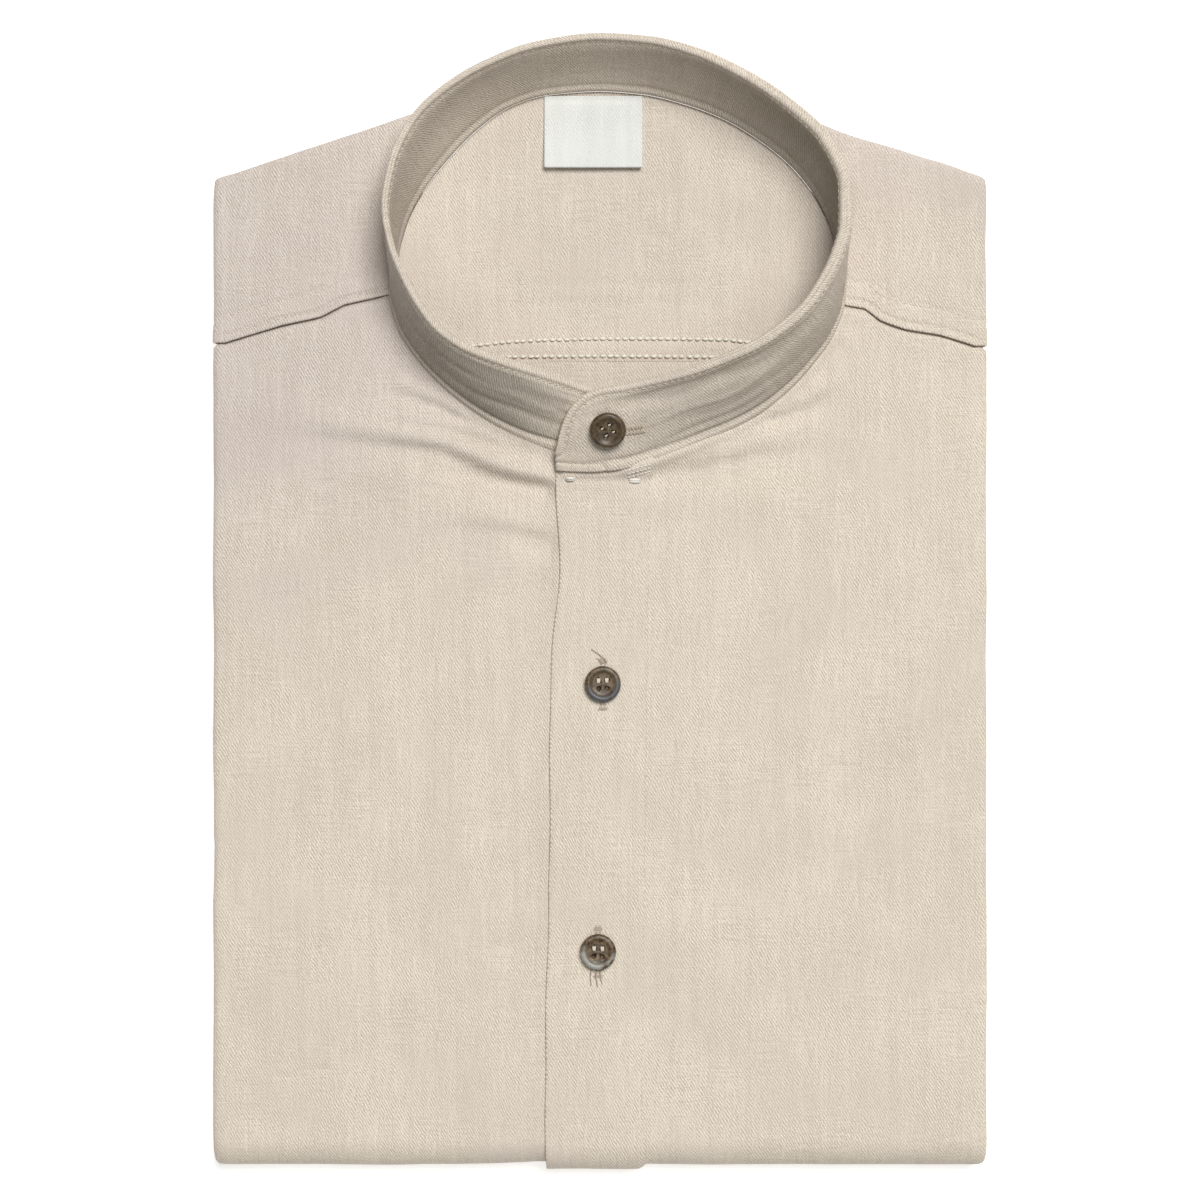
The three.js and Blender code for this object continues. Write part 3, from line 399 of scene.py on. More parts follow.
# station, rim width, trough below the rim, inner lip, ledge at the base
BAND_SHAPE = np.array([
    [0, 2.6, 0.10, 0.1, 0.02],
    [3, 2.7, 0.45, 0.2, 0.03],
    [5, 2.9, 1.25, 0.2, 0.10],
    [7, 3.2, 1.65, 0.3, 0.22],
    [10, 3.4, 1.45, 0.3, 0.28],
    [13, 3.8, 0.75, 0.4, 0.30],
    [15, 4.2, 0.20, 0.5, 0.50],
    [18, 4.3, 0.20, 0.6, 0.50],
    [20, 3.2, 0.20, 0.7, 0.50],
    [23, 2.3, 0.20, 0.6, 0.50],
    [27, 2.1, 0.20, 0.6, 0.50],
    [30, 1.9, 0.10, 0.5, 0.25],
    [34, 2.3, 0.20, 0.4, 0.10],
    [37, 3.4, 0.35, 0.3, 0.12],
    [39, 3.0, 0.45, 0.2, 0.15],
    [41, 2.3, 0.10, 0.2, 0.15],
])
# Soft folds lengthwise on the band's outer face: stations it runs between, its levels there as shares of
# the height, width and depth; a negative depth is a ridge.
BAND_FOLDS = [
    [3.2, 13.5, 0.72, 0.70, 1.9, 1.15],
    [5.6, 10.8, 0.18, 0.28, 1.3, 0.60],
    [6.0, 11.5, 0.48, 0.56, 1.1, -0.55],
    [7.0, 12.5, 0.36, 0.40, 1.4, 0.40],
    [33.0, 39.5, 0.34, 0.42, 1.5, 0.55],
    [34.5, 39.8, 0.58, 0.60, 1.3, -0.45],
    [31.5, 36.5, 0.52, 0.66, 1.2, 0.40],
    [2.2, 6.5, 0.72, 0.60, 1.0, 0.35],
    [36.0, 41.0, 0.82, 0.66, 1.7, -0.9],
    [36.5, 41.0, 0.62, 0.42, 1.2, 0.55],
]
FACE_STEPS = 44
TAB_STATION = 6.0
TAB_EDGE = np.concatenate([
    collar_line(BASE, np.linspace(3.6, 0, 50)),
    collar_line(TOP, np.linspace(0, 9, 260)),
])


def edge_distance(station, up, height, points):
    """Distance to the collar's free edge, which runs round the tab's end as well."""
    below = height - up
    on_tab = np.nonzero(station < TAB_STATION)[0]
    if len(on_tab):
        near = points[:, on_tab]
        gap = np.min(np.linalg.norm(near[:, :, None] - TAB_EDGE[None, None], axis=-1), axis=-1)
        share = smooth(TAB_STATION, TAB_STATION - 2, station[on_tab])[None, :]
        below = below.copy()
        below[:, on_tab] = lerp(below[:, on_tab], np.minimum(below[:, on_tab], gap), share)
    return below


STITCH_PITCH = 2.3
BEAD_SHARE = 0.55  # of the rim's width: the round edge at the top of the band
CREST_STEPS = 23
CREST_DIP = 0.30
STITCH_HOLLOW = 0.55
# What runs along the band: its distance from the base or the edge, and its width.
BAND_LINES = dict(
    ledge=(1.5, 1.1), groove=(3.4, 0.75), trough=(5.2, 2.4), edge_stitch=(2.6, 0.5),
    lip=(1.6, 1.1), lip_groove=(3.4, 0.8), inner_stitch=(2.4, 0.45),
)


def band_section(station):
    """The closed outline of the band across each station: distance up from the base, and distance outward."""
    station = np.atleast_1d(station)
    base, up_way, _, height, belly, _ = collar_frame(station)
    rim, trough, lip, ledge = curve(BAND_SHAPE[:, 0], BAND_SHAPE[:, 1:], station).T
    top = height - BEAD_SHARE * rim
    up = np.linspace(0, 1, FACE_STEPS)[:, None] * top
    share_up = up / height
    below_rim = height - up
    swell = belly * 4 * share_up * (1 - share_up)
    clear = smooth(2, 7, below_rim)
    folds = 0.35 * ripple(station * 5.5, up * 0.6, 11, 16) * smooth(0.12, 0.4, share_up) * clear
    for start, end, low, high, width, depth in BAND_FOLDS:
        share = np.clip((station - start) / (end - start), 0, 1)
        level = lerp(low, high, share) * height + 0.5 * np.sin(station * 1.9 + start)
        folds = folds - depth * np.sin(math.pi * share) ** 0.7 * hump(up, level, width)
    edge = edge_distance(station, up, height, base[None] + up_way[None] * up[..., None])
    hollow = trough * hump(below_rim, *BAND_LINES["trough"])
    outer = (
        swell
        + ledge * hump(up, *BAND_LINES["ledge"])
        - BASE_GROOVE * hump(up, *BAND_LINES["groove"]) * smooth(2.5, 5, station)
        - hollow
        - STITCH_HOLLOW * hump(edge, *BAND_LINES["edge_stitch"])
        + folds
    )
    inner = (
        -lerp(BAND, rim, smooth(9, 1.5, below_rim))
        + 0.5 * swell
        - lip * hump(up, *BAND_LINES["lip"])
        + 0.4 * lip * hump(up, *BAND_LINES["lip_groove"])
        + 0.25 * hump(below_rim, *BAND_LINES["inner_stitch"])
        - 0.5 * hollow
        + 0.6 * folds
        + 0.3 * ripple(station * 5.5, up * 0.5, 12, 22) * smooth(0.1, 0.35, share_up) * clear
    )
    crest = np.linspace(0, math.pi, CREST_STEPS)[1:-1, None]
    lobes = 1 - CREST_DIP * np.exp(-((np.cos(crest) / 0.17) ** 2))
    crest_up = top + BEAD_SHARE * rim * np.sin(crest) ** 0.7 * lobes
    middle, half = (outer[-1] + inner[-1]) / 2, (outer[-1] - inner[-1]) / 2
    crest_out = middle + half * np.cos(crest) * 1.04
    return np.concatenate([up, crest_up, up[::-1]]), np.concatenate([outer, crest_out, inner[::-1]])


def place_on_band(station, up, out):
    base, up_way, out_way, _, _, _ = collar_frame(station)
    return base + up_way * up[..., None] + out_way * out[..., None]


# Painted shade on the band's faces, as how much darker they are painted than the rim: station, outer face, inner
# face.
SHADES = np.array([
    [0, 0.3, 0.0],
    [4, 0.5, 0.0],
    [8, 1.0, 0.3],
    [13, 1.1, 1.4],
    [16, 0.8, 2.3],
    [19, 0.3, 1.6],
    [23, 0.0, 0.1],
    [26, 0.2, 0.5],
    [29, 1.0, 1.0],
    [32, 2.0, 1.0],
    [36, 2.0, 0.6],
    [38, 1.0, 0.4],
    [41, 0.3, 0.3],
])
COLLAR_COLUMNS = 760
CAP_BULGE = 0.45  # of the band's thickness
fine = np.linspace(0, LAST_STATION, 4000)
band_run = (arc(collar_line(BASE, fine)) + arc(collar_line(TOP, fine))) / 2
band_at = np.interp(np.linspace(0, band_run[-1], COLLAR_COLUMNS), band_run, fine)


def end_cap(points, column, way, first):
    """A bulging cap on an end of the band: the points down its middle, and faces from them to both sides."""
    count, columns = points.shape[:2]
    half = count // 2
    outer, inner = points[:half, column], points[:half:-1, column]
    gap = np.minimum(np.linalg.norm(outer - inner, axis=1, keepdims=True), BAND)
    middle = (outer + inner) / 2 + way * CAP_BULGE * gap * collar_frame(band_at[column])[5]
    a = np.arange(half) * columns + column
    b = (count - 1 - np.arange(half)) * columns + column
    m = first + np.arange(half)
    tip = half * columns + column
    quads = [np.stack([a[:-1], a[1:], m[1:], m[:-1]], 1), np.stack([m[:-1], m[1:], b[1:], b[:-1]], 1)]
    ends = np.array([[a[-1], tip, m[-1]], [m[-1], tip, b[-1]], [b[0], a[0], m[0]]])
    return middle, np.concatenate(quads).tolist() + ends.tolist(), a


def collar_mesh():
    """Points, faces, cloth coordinates and painted shade of the whole band."""
    ups, outs = band_section(band_at)
    points = place_on_band(band_at[None, :], ups, outs)
    run = np.interp(band_at, fine, band_run)
    height = collar_frame(band_at)[3][None, :]
    pucker = 0.07 * wave(run, STITCH_PITCH)[None, :] * hump(height - ups, 2.2, 1.3)
    normals = unit(np.cross(np.gradient(points, axis=1), np.roll(points, -1, 0) - np.roll(points, 1, 0)))
    outward = points - points.mean(0, keepdims=True)
    normals *= np.sign((outward * normals).sum(-1, keepdims=True).mean())
    points = points + normals * pucker[..., None]
    count, columns = points.shape[:2]
    index = np.arange(count * columns).reshape(count, columns)
    after = np.roll(index, -1, 0)
    walls = np.stack([index[:, :-1], after[:, :-1], after[:, 1:], index[:, 1:]], -1)
    faces = walls.reshape(-1, 4).tolist()
    around = arc_of_rows(points)
    cloth = np.stack(np.broadcast_arrays(run[None, :], around[:, None], 0.0), -1).reshape(-1, 3)
    painted_shade = np.zeros((count, columns))
    # Painted shade on the outer and inner faces, fading out toward the rim and, on the outer face, toward the
    # base.
    for face, column in ((slice(0, FACE_STEPS), 1), (slice(-FACE_STEPS, None), 2)):
        up = ups[face]
        painted_shade[face] = smooth(2.2, 4.2, height - up) * curve(SHADES[:, 0], SHADES[:, column], band_at)[None]
        if column == 1:
            painted_shade[face] *= smooth(2.2, 3.8, up)
    all_points, all_cloth = [points.reshape(-1, 3)], [cloth]
    first = count * columns
    for column, way in ((0, -1), (columns - 1, 1)):
        middle, caps, beside = end_cap(points, column, way, first)
        faces += caps
        all_points.append(middle)
        all_cloth.append(cloth[beside])
        first += len(middle)
    painted_shade = np.concatenate([painted_shade.ravel(), np.zeros(first - count * columns)])
    return np.concatenate(all_points), faces, np.concatenate(all_cloth), painted_shade


def arc_of_rows(points):
    """The mean distance from a grid's first row to each of its rows."""
    return np.concatenate([[0], np.cumsum(np.linalg.norm(np.diff(points, axis=0), axis=-1).mean(1))])


def face_outward(obj):
    work = bmesh.new()
    work.from_mesh(obj.data)
    bmesh.ops.recalc_face_normals(work, faces=work.faces)
    work.to_mesh(obj.data)
    work.free()


def neck_point(station, distance):
    """In plan, a distance outside the collar's base, or inside it where the distance is negative."""
    station = np.asarray(station, float)
    row = curve(STATIONS, COLLAR[:, :3], station)
    step = 0.3
    run = curve(STATIONS, COLLAR[:, :2], np.minimum(station + step, LAST_STATION))
    run = unit(run - curve(STATIONS, COLLAR[:, :2], np.maximum(station - step, 0)))
    x, y = row[..., 0] + distance * run[..., 1], row[..., 1] - distance * run[..., 0]
    return np.stack([x, y], -1), row[..., 2]


collar_points, collar_faces, collar_cloth, collar_painted_shade = collar_mesh()
collar_attributes = {"cloth": collar_cloth, "shade": collar_painted_shade}
collar = mesh_object("collar_band", collar_points, collar_faces, collar_attributes)
face_outward(collar)

# ---- Creases of the fronts ----
# Each runs through its points and fades toward the last: width, depth of its trough, height of the ridge on
# its side toward the collar, and where along it the fading starts.
MAIN_CREASE = [
    (-11, 38.9), (-25, 41.4), (-34, 44.0), (-42, 47.4), (-50, 50.8), (-62, 52.8), (-81, 55.2), (-104, 58.0),
]
CREASES = [
    (MAIN_CREASE, 2.0, 2.7, 1.5, 0.14),
    ([(-27, 40.6), (-38, 42.6), (-50, 44.6), (-66, 47.0)], 1.7, 0.75, 0.25, 0.45),
    ([(-58, 52.4), (-81, 55.2), (-100, 57.4), (-119, 62.5)], 2.4, 0.8, 0.35, 0.30),
    ([(-35, 53.2), (-43, 56.0), (-53, 58.2), (-67, 60.2), (-84, 62.0)], 1.2, 0.60, 0.40, 0.35),
    ([(-45, 61.5), (-50, 64.3), (-59.2, 68.1), (-72, 71.6)], 1.2, 0.80, 0.50, 0.45),
    ([(-11, 22.0), (-20, 23.6), (-31.2, 26.2), (-42, 27.2), (-58, 27.8)], 2.2, 1.05, 0.45, 0.50),
    ([(-60, 40.5), (-84, 45.0), (-110, 49.0)], 5.5, 0.50, 0.25, 0.40),
    ([(-16, 12.0), (-40, 14.0), (-66, 13.0)], 5.0, 0.25, 0.10, 0.40),
    ([(15, 43.6), (31.2, 46.2), (40, 48.2), (50, 50.3), (72, 52.8), (92, 54.0)], 2.4, 1.3, 0.55, 0.35),
    ([(57, 61.6), (62, 63.4), (68.6, 66.4), (73, 69.5), (76, 73.5)], 1.6, 1.0, 0.65, 0.55),
    ([(16, 30.6), (44, 31.4), (84, 29.0)], 4.5, 0.35, 0.15, 0.40),
    ([(40, 58.6), (58, 66.0), (66, 72.0)], 1.6, 0.30, 0.15, 0.50),
    ([(70, 58.0), (92, 64.0), (117, 69.0)], 5.0, 0.30, 0.10, 0.40),
    ([(-7.5, 38.6), (0, 37.4), (7, 37.9), (12, 39.4)], 1.5, 0.75, 0.0, 0.6),
    ([(112, -48), (74, -44), (36, -40)], 9.0, 0.22, 0.0, 0.40),
    ([(-114, -72), (-80, -68), (-48, -60)], 9.0, 0.24, 0.0, 0.40),
    ([(30, -120), (62, -118), (94, -112)], 8.0, 0.20, 0.0, 0.40),
    ([(-68, -140), (-92, -134), (-112, -127)], 7.0, 0.20, 0.0, 0.40),
]
# The same kind of creases on the half that is turned under, by distance along the cloth.
UNDER_CREASES = [
    ([(-98, -262), (-60, -258), (-18, -248)], 5.0, 0.60, 0.0, 0.4),
    ([(28, -300), (64, -306), (104, -320)], 5.5, 0.60, 0.0, 0.4),
    ([(-114, -362), (-80, -356), (-36, -352)], 4.0, 0.50, 0.0, 0.4),
    ([(20, -402), (44, -396), (76, -391)], 6.0, 0.45, 0.0, 0.4),
    ([(-58, -438), (-86, -446), (-118, -454)], 4.5, 0.55, 0.0, 0.4),
    ([(118, -228), (90, -226), (60, -231)], 3.5, 0.50, 0.0, 0.4),
]
CREASE_REACH = 5.0


def crease_depth(x, y):
    total = np.zeros(np.broadcast(x, y).shape)
    for points, width, depth, ridge, fade_from in CREASES + UNDER_CREASES:
        points = np.array(points, float)
        line = curve(arc(points), points, arc(respaced(points, 1.5)))
        grow = CREASE_REACH * width + 2
        near = (x > line[:, 0].min() - grow) & (x < line[:, 0].max() + grow)
        near &= (y > line[:, 1].min() - grow) & (y < line[:, 1].max() + grow)
        px, py = x[near], y[near]
        off, run = from_line(px, py, line)
        share = run / arc(line)[-1]
        i = np.clip((share * (len(line) - 1)).astype(int), 0, len(line) - 2)
        way = line[i + 1] - line[i]
        side = np.sign((px - line[i, 0]) * way[:, 1] - (py - line[i, 1]) * way[:, 0])
        off = off * side * -np.sign(way[:, 0])
        spread = width * (1 + 0.9 * share)
        lower = off + 0.85 * spread
        shape = depth * hump(lower, 0, np.where(lower < 0, 2.4, 0.95) * spread)
        shape -= ridge * hump(off, 0.95 * spread, 1.25 * spread)
        total[near] += shape * (1 - smooth(fade_from, 1.0, share)) * smooth(0.0, 0.03, share + 0.02)
    return total


def placket_proud(along):
    return PLACKET["proud"] * smooth(BOTTOM_CENTRE_Y - FOLD_TURN, BOTTOM_CENTRE_Y, along)


def placket_lift(along):
    round_fold = np.clip((BOTTOM_CENTRE_Y - along) / FOLD_TURN, 0, 1)
    return placket_proud(along) + PLACKET["bulge"] * np.sin(math.pi * round_fold)


NECK_TUCK = 1.1
SEAM_TUCK = 2.6


# Shares of the way from a front's upper edge to the bottom fold, closer together near the collar.
TOP_SHARES = np.concatenate([np.linspace(0, 1, 60) ** 1.15 * 0.30, np.linspace(0.30, 1, 70)[1:]])
FOLD_ROWS = BOTTOM_CENTRE_Y - np.linspace(0, 1, 25)[1:] * FOLD_TURN
HEM_ROWS = np.concatenate([
    np.linspace(BOTTOM_CENTRE_Y - FOLD_TURN, HEM_ALONG + 14, 50)[1:],
    np.linspace(HEM_ALONG + 14, HEM_ALONG, 14)[1:],
])


def front_grid(edge):
    """x and along of a front's cloth, column by column from the middle out and round the side fold."""
    columns = respaced(edge, 1.15)
    side = np.sign(columns[-1, 0])
    turn = SIDE_FLAT + np.linspace(0, 1, 15)[1:] * SIDE_TURN
    back = SIDE_FLAT + SIDE_TURN + np.linspace(0, 1, 4)[1:] * SIDE_RETURN
    extra = side * np.concatenate([turn, back])
    columns = np.concatenate([columns, np.stack([extra, np.full(len(extra), columns[-1, 1])], 1)])
    x = columns[:, :1]
    top = lerp(columns[:, 1:], BOTTOM_CENTRE_Y, TOP_SHARES[None, :])
    rest = np.concatenate([FOLD_ROWS, HEM_ROWS])
    along = np.concatenate([top, np.broadcast_to(rest, (len(x), len(rest)))], 1)
    return np.broadcast_to(x, along.shape), along


def seam_y(side, x):
    seam = LEFT_YOKE_SEAM if side > 0 else RIGHT_YOKE_SEAM
    station = LEFT_SEAM_STATION if side > 0 else RIGHT_SEAM_STATION
    start, _ = neck_point(station, 0.0)
    line = np.concatenate([[start], seam])
    if side < 0:
        line = line * [-1, 1]
    return curve(line[:, 0], line[:, 1], np.abs(x))


def seam_line(side, shift, ends=(0, 1)):
    """A line beside a yoke seam, shifted toward the collar."""
    start = abs(neck_point(LEFT_SEAM_STATION if side > 0 else RIGHT_SEAM_STATION, 0.0)[0][0])
    x = side * np.linspace(lerp(start, SIDE_FLAT, ends[0]), lerp(start, SIDE_FLAT, ends[1]), 60)
    return np.stack([x, seam_y(side, x) + shift], 1)


NECK_LINE_LEFT = neck_point(np.linspace(5.0, 14.0, 90), 0.0)[0]
NECK_LINE_RIGHT = neck_point(np.linspace(31.0, 41.0, 90), 0.0)[0]
PLACKET_STITCH_X = PLACKET["right"] - 0.2


SEAM_DIP = dict(beyond=66, depth=2.4)  # the front passes under the yoke, outside the collar
BASE_PUCKER = dict(off=4.2, width=2.6, depth=0.34, pitch=7.5)
NECK_BANK = dict(off=0.4, width=1.5, low=0.62, more=1.1, right_side=0.25)  # where the collar is sewn on
HEM_STITCH = dict(up=7.5, depth=0.28, width=0.7, fold=7.2, thicker=0.7)


def cloth_relief(side, x, along):
    """Depth of everything that shapes a front's surface except the placket."""
    depth = crease_depth(x, along)
    depth += 0.10 * ripple(x, along, 5, 46) + 0.05 * ripple(x, along, 6, 17)
    upper = along > BOTTOM_CENTRE_Y
    past_seam = along - seam_y(side, x)
    outside = (np.abs(x) > SEAM_DIP["beyond"]) & upper
    depth += np.where(outside, SEAM_DIP["depth"] * smooth(-2.0, 0.4, past_seam), 0)
    gathers = np.sin(x * 0.9 + 0.7 * np.sin(x * 0.35))
    depth += np.where(outside, 0.125 * hump(past_seam, -4.0, 2.0) * gathers, 0)
    line = NECK_LINE_LEFT if side > 0 else NECK_LINE_RIGHT
    off, run = from_line(x, along, line[::3])
    pucker = 0.5 + 0.5 * np.sin(run * 2 * math.pi / BASE_PUCKER["pitch"] + 1.3 * np.sin(run * 0.21))
    bank = NECK_BANK["right_side"]
    if side > 0:
        bank = NECK_BANK["low"] + NECK_BANK["more"] * (1 - smooth(18, 42, x))
    neck = BASE_PUCKER["depth"] * hump(off, BASE_PUCKER["off"], BASE_PUCKER["width"]) * pucker
    neck -= bank * hump(off, NECK_BANK["off"], NECK_BANK["width"])
    depth += np.where(upper & (along > 35), neck, 0)
    hem = hump(along - HEM_ALONG, HEM_STITCH["up"], HEM_STITCH["width"])
    depth += HEM_STITCH["depth"] * hem * (along < FOLD_ROWS[-1])
    beneath = smooth(BOTTOM_CENTRE_Y - 0.7 * FOLD_TURN, BOTTOM_CENTRE_Y - FOLD_TURN, along)
    return np.where(along < BOTTOM_CENTRE_Y, lerp(depth, np.maximum(depth + 0.12, 0.0), beneath), depth)


def placket_profile(x):
    """1 on the placket, and 0 past its stitched edge."""
    return 1 - smooth(PLACKET["right"] - 0.6, PLACKET["right"] + 1.6, x)


# The end of the collar's inner cloth, which shows below the tab.
TAB_PATCH = dict(left=-12.6, right=16.6, south=42.3, thickness=1.2)


def left_depth(x, along):
    on = placket_profile(x)
    depth = cloth_relief(1, x, along) * smooth(PLACKET["left"] - 3, PLACKET["right"] + 14, x)
    depth += 0.20 * hump(x, PLACKET_STITCH_X, 0.55) * (1 + 0.5 * wave(along, STITCH_PITCH))
    depth += 0.10 * ripple(x * 0.7, along, 21, 26) * on
    depth -= on * placket_lift(along) + 0.06 * hump(x, PLACKET["left"] + 1.2, 1.0)
    patch = TAB_PATCH["thickness"] * smooth(TAB_PATCH["left"], TAB_PATCH["left"] + 0.6, x)
    patch *= 1 - smooth(TAB_PATCH["right"], TAB_PATCH["right"] + 1.2, x)
    depth -= patch * smooth(TAB_PATCH["south"] - 1.6, TAB_PATCH["south"], along)
    beneath = smooth(BOTTOM_CENTRE_Y - 0.8 * FOLD_TURN, BOTTOM_CENTRE_Y - FOLD_TURN, along)
    return lerp(depth, np.maximum(depth, 0.02), beneath)


def right_depth(x, along):
    share = curve(UNDERLAP[:, 0], UNDERLAP[:, 1], x)
    under = share * (0.72 * PLACKET["thickness"] - placket_proud(along) + 0.12)
    reduce = 1 - smooth(-18, -12, x)
    return cloth_relief(-1, x, along) * reduce + under


def left_edge():
    tab, _ = neck_point(np.linspace(0.4, PLACKET_STATION, 30), -NECK_TUCK)
    tab = tab[tab[:, 0] > PLACKET["left"] + 0.4]
    tab = np.concatenate([[[PLACKET["left"], tab[0, 1] - 0.3]], tab])
    neck, _ = neck_point(np.linspace(PLACKET_STATION, LEFT_SEAM_STATION, 60)[1:], -NECK_TUCK)
    neck = neck[neck[:, 0] > tab[-1, 0] + 0.1]
    seam = seam_line(1, SEAM_TUCK)
    seam = seam[seam[:, 0] > neck[:, 0].max() + 1.5]
    neck = neck[neck[:, 1] < seam[0, 1]]
    return np.concatenate([tab, neck, seam])


def right_edge():
    neck, _ = neck_point(np.linspace(40.6, RIGHT_SEAM_STATION, 90), -NECK_TUCK)
    seam = seam_line(-1, SEAM_TUCK)
    seam = seam[seam[:, 0] < neck[:, 0].min() - 1.5]
    neck = neck[neck[:, 1] < seam[0, 1]]
    return np.concatenate([neck, seam])


def front_cloth(name, edge, depth_at, side, extra_wall=0.0):
    """A front's object, and the points and normals of its outer face."""
    x, along = front_grid(edge)
    placed = leaned(x, along) + (edge_wander(x, along) if side > 0 else 0)
    points = pack_point(placed, along, depth_at(x, along))
    wall = WALL - 0.1 + HEM_STITCH["thicker"] * (along < HEM_ALONG + HEM_STITCH["fold"])
    wall = wall + extra_wall * placket_profile(x)
    piece, normals = cloth_piece(name, points, wall, np.stack([x, along], -1), flip=side > 0)
    return piece, points, normals, x, along


left_front, left_points, left_normals, _, _ = front_cloth(
    "left_front_cloth", left_edge(), left_depth, 1, 0.05)
right_front, _, _, right_x, right_along = front_cloth(
    "right_front_cloth", right_edge(), right_depth, -1)

# Painted shade: the cloth's colour is darkened close beside the placket's edge and the collar's base, on the
# shaded front.
EDGE_SHADE = dict(amount=0.5, reach=2.6)
BASE_SHADE = dict(amount=1.1, reach=1.3)
edge_off = np.maximum(PLACKET["left"] - right_x, 0)
base_off, _ = from_line(right_x, right_along, neck_point(np.linspace(30, 41, 80), 0.0)[0])
right_shade = EDGE_SHADE["amount"] * np.exp(-edge_off / EDGE_SHADE["reach"])
right_shade += BASE_SHADE["amount"] * np.exp(-base_off / BASE_SHADE["reach"])
right_painted_shade = np.zeros(len(right_front.data.vertices))
right_painted_shade[:right_shade.size] = right_shade.ravel()
add_attribute(right_front.data, "shade", right_painted_shade)

# ---- Yoke ----
YOKE_TOP_STEPS = 62
YOKE_FOLD_STEPS = 17
YOKE_BACK_STEPS = 5
YOKE_COLUMNS = 330
YOKE_NECK_TUCK = -0.9


def yoke_spoke_points(spoke, seam):
    """A line of the yoke's outer face from the neck out and round its pressed fold, and its cloth places."""
    station, x, y, out_x, out_y, top = spoke
    way = [out_x, out_y]
    neck, neck_z = neck_point(station, YOKE_NECK_TUCK)
    radius = (top - (THICKNESS - RETURN_DEPTH)) / 2
    t = np.linspace(0, 1, YOKE_TOP_STEPS)
    if seam is None:
        end = np.array([x - out_x * radius, y - out_y * radius])
        line = lerp(neck[None, :], end[None, :], t[:, None])
    else:
        path = np.concatenate([[neck], seam])
        run = arc(path)
        line = np.stack([np.interp(t * run[-1], run, path[:, k]) for k in (0, 1)], 1)
    z = lerp(min(neck_z, top) - 0.3, top, smooth(0, 0.34, t))
    turn = np.linspace(0, math.pi, YOKE_FOLD_STEPS)[1:]
    arm = radius * squarish(turn)
    fold_xy = line[-1] + np.outer(arm * np.sin(turn), way)
    fold_z = top - radius + arm * np.cos(turn)
    at_side = out_y == 0 and abs(out_x) == 1
    reach = min(SIDE_RETURN, SHOULDER_RETURN + 129.0 - y) if at_side else SHOULDER_RETURN
    back = np.linspace(0, 1, YOKE_BACK_STEPS)[1:] * reach
    points = np.concatenate([
        np.column_stack([line, z]),
        np.column_stack([fold_xy, fold_z]),
        np.column_stack([fold_xy[-1] - np.outer(back, way), np.full(len(back), fold_z[-1])]),
    ])
    past = np.concatenate([radius * turn, radius * math.pi + back])
    return points, np.concatenate([line, line[-1] + np.outer(past, way)])


def yoke_grid():
    last = len(YOKE_EDGE) - 1
    seams = {0: LEFT_YOKE_SEAM, last: RIGHT_YOKE_SEAM}
    spokes, cloths = zip(*[yoke_spoke_points(spoke, seams.get(k)) for k, spoke in enumerate(YOKE_EDGE)])
    keys = arc(YOKE_EDGE[:, 1:3])
    near = np.linspace(0, 14, 22)
    at = np.unique(np.concatenate([np.linspace(0, keys[-1], YOKE_COLUMNS), near, keys[-1] - near]))
    return curve(keys, np.array(spokes), at), curve(keys, np.array(cloths), at)


YOKE_STITCH_OFFS = (1.9, 7.8)


def yoke_relief(x, y):
    """Height above the plain yoke: a full seam edge, pressed down at its rows of stitches, and soft waves."""
    lift = np.zeros(x.shape)
    for side in (1, -1):
        off, run = from_line(x, y, seam_line(side, 0.0)[::2])
        pucker = 1 + 0.35 * wave(run, 2.5)
        shape = (0.34 + 0.35 * hump(off, 0.3, 0.8)) * (1 - smooth(2.6, 9.5, off))
        for stitch_off, width, depth in zip(YOKE_STITCH_OFFS, (0.55, 0.7), (0.42, 0.26)):
            shape = shape - depth * hump(off, stitch_off, width) * pucker
        lift += np.where(np.sign(x) == side, shape, 0)
    neck = neck_point(np.linspace(LEFT_SEAM_STATION, RIGHT_SEAM_STATION, 150), 0.0)[0]
    off, run = from_line(x, y, neck[::2])
    lift += 0.22 * hump(off, 5.0, 4.0) * np.sin(run * 2 * math.pi / 13 + 1.4 * np.sin(run * 0.13))
    return lift + 0.14 * ripple(x, y, 31, 40) + 0.05 * ripple(x, y, 32, 15)


yoke_points, yoke_cloth = yoke_grid()
YOKE_FLIP = faces_down(yoke_points)
yoke_up = grid_normals(yoke_points) * (-1 if YOKE_FLIP else 1)
yoke_points = yoke_points + yoke_up * yoke_relief(yoke_cloth[..., 0], yoke_cloth[..., 1])[..., None]
yoke, yoke_normals = cloth_piece("yoke_cloth", yoke_points, WALL - 0.1, yoke_cloth, flip=YOKE_FLIP)

# ---- Inside the neck ----
inside_neck, inside_z = neck_point(
    np.linspace(LEFT_SEAM_STATION - 4.5, RIGHT_SEAM_STATION + 3.5, 300), -(BAND + 0.2))
inside_z = np.minimum(inside_z, THICKNESS - WALL - 0.6)


def lining_height(x, y):
    """Height of the lining's face at any places, and how far in from the neck they are."""
    flat = np.stack([np.ravel(x), np.ravel(y)], 1)
    off = np.linalg.norm(flat[:, None, :] - inside_neck[None, ::2, :], axis=2)
    z = lerp(inside_z[::2][off.argmin(1)], LINING_TOP, smooth(0, LINING_SLOPE, off.min(1)))
    return z.reshape(np.shape(x)), off.min(1).reshape(np.shape(x))


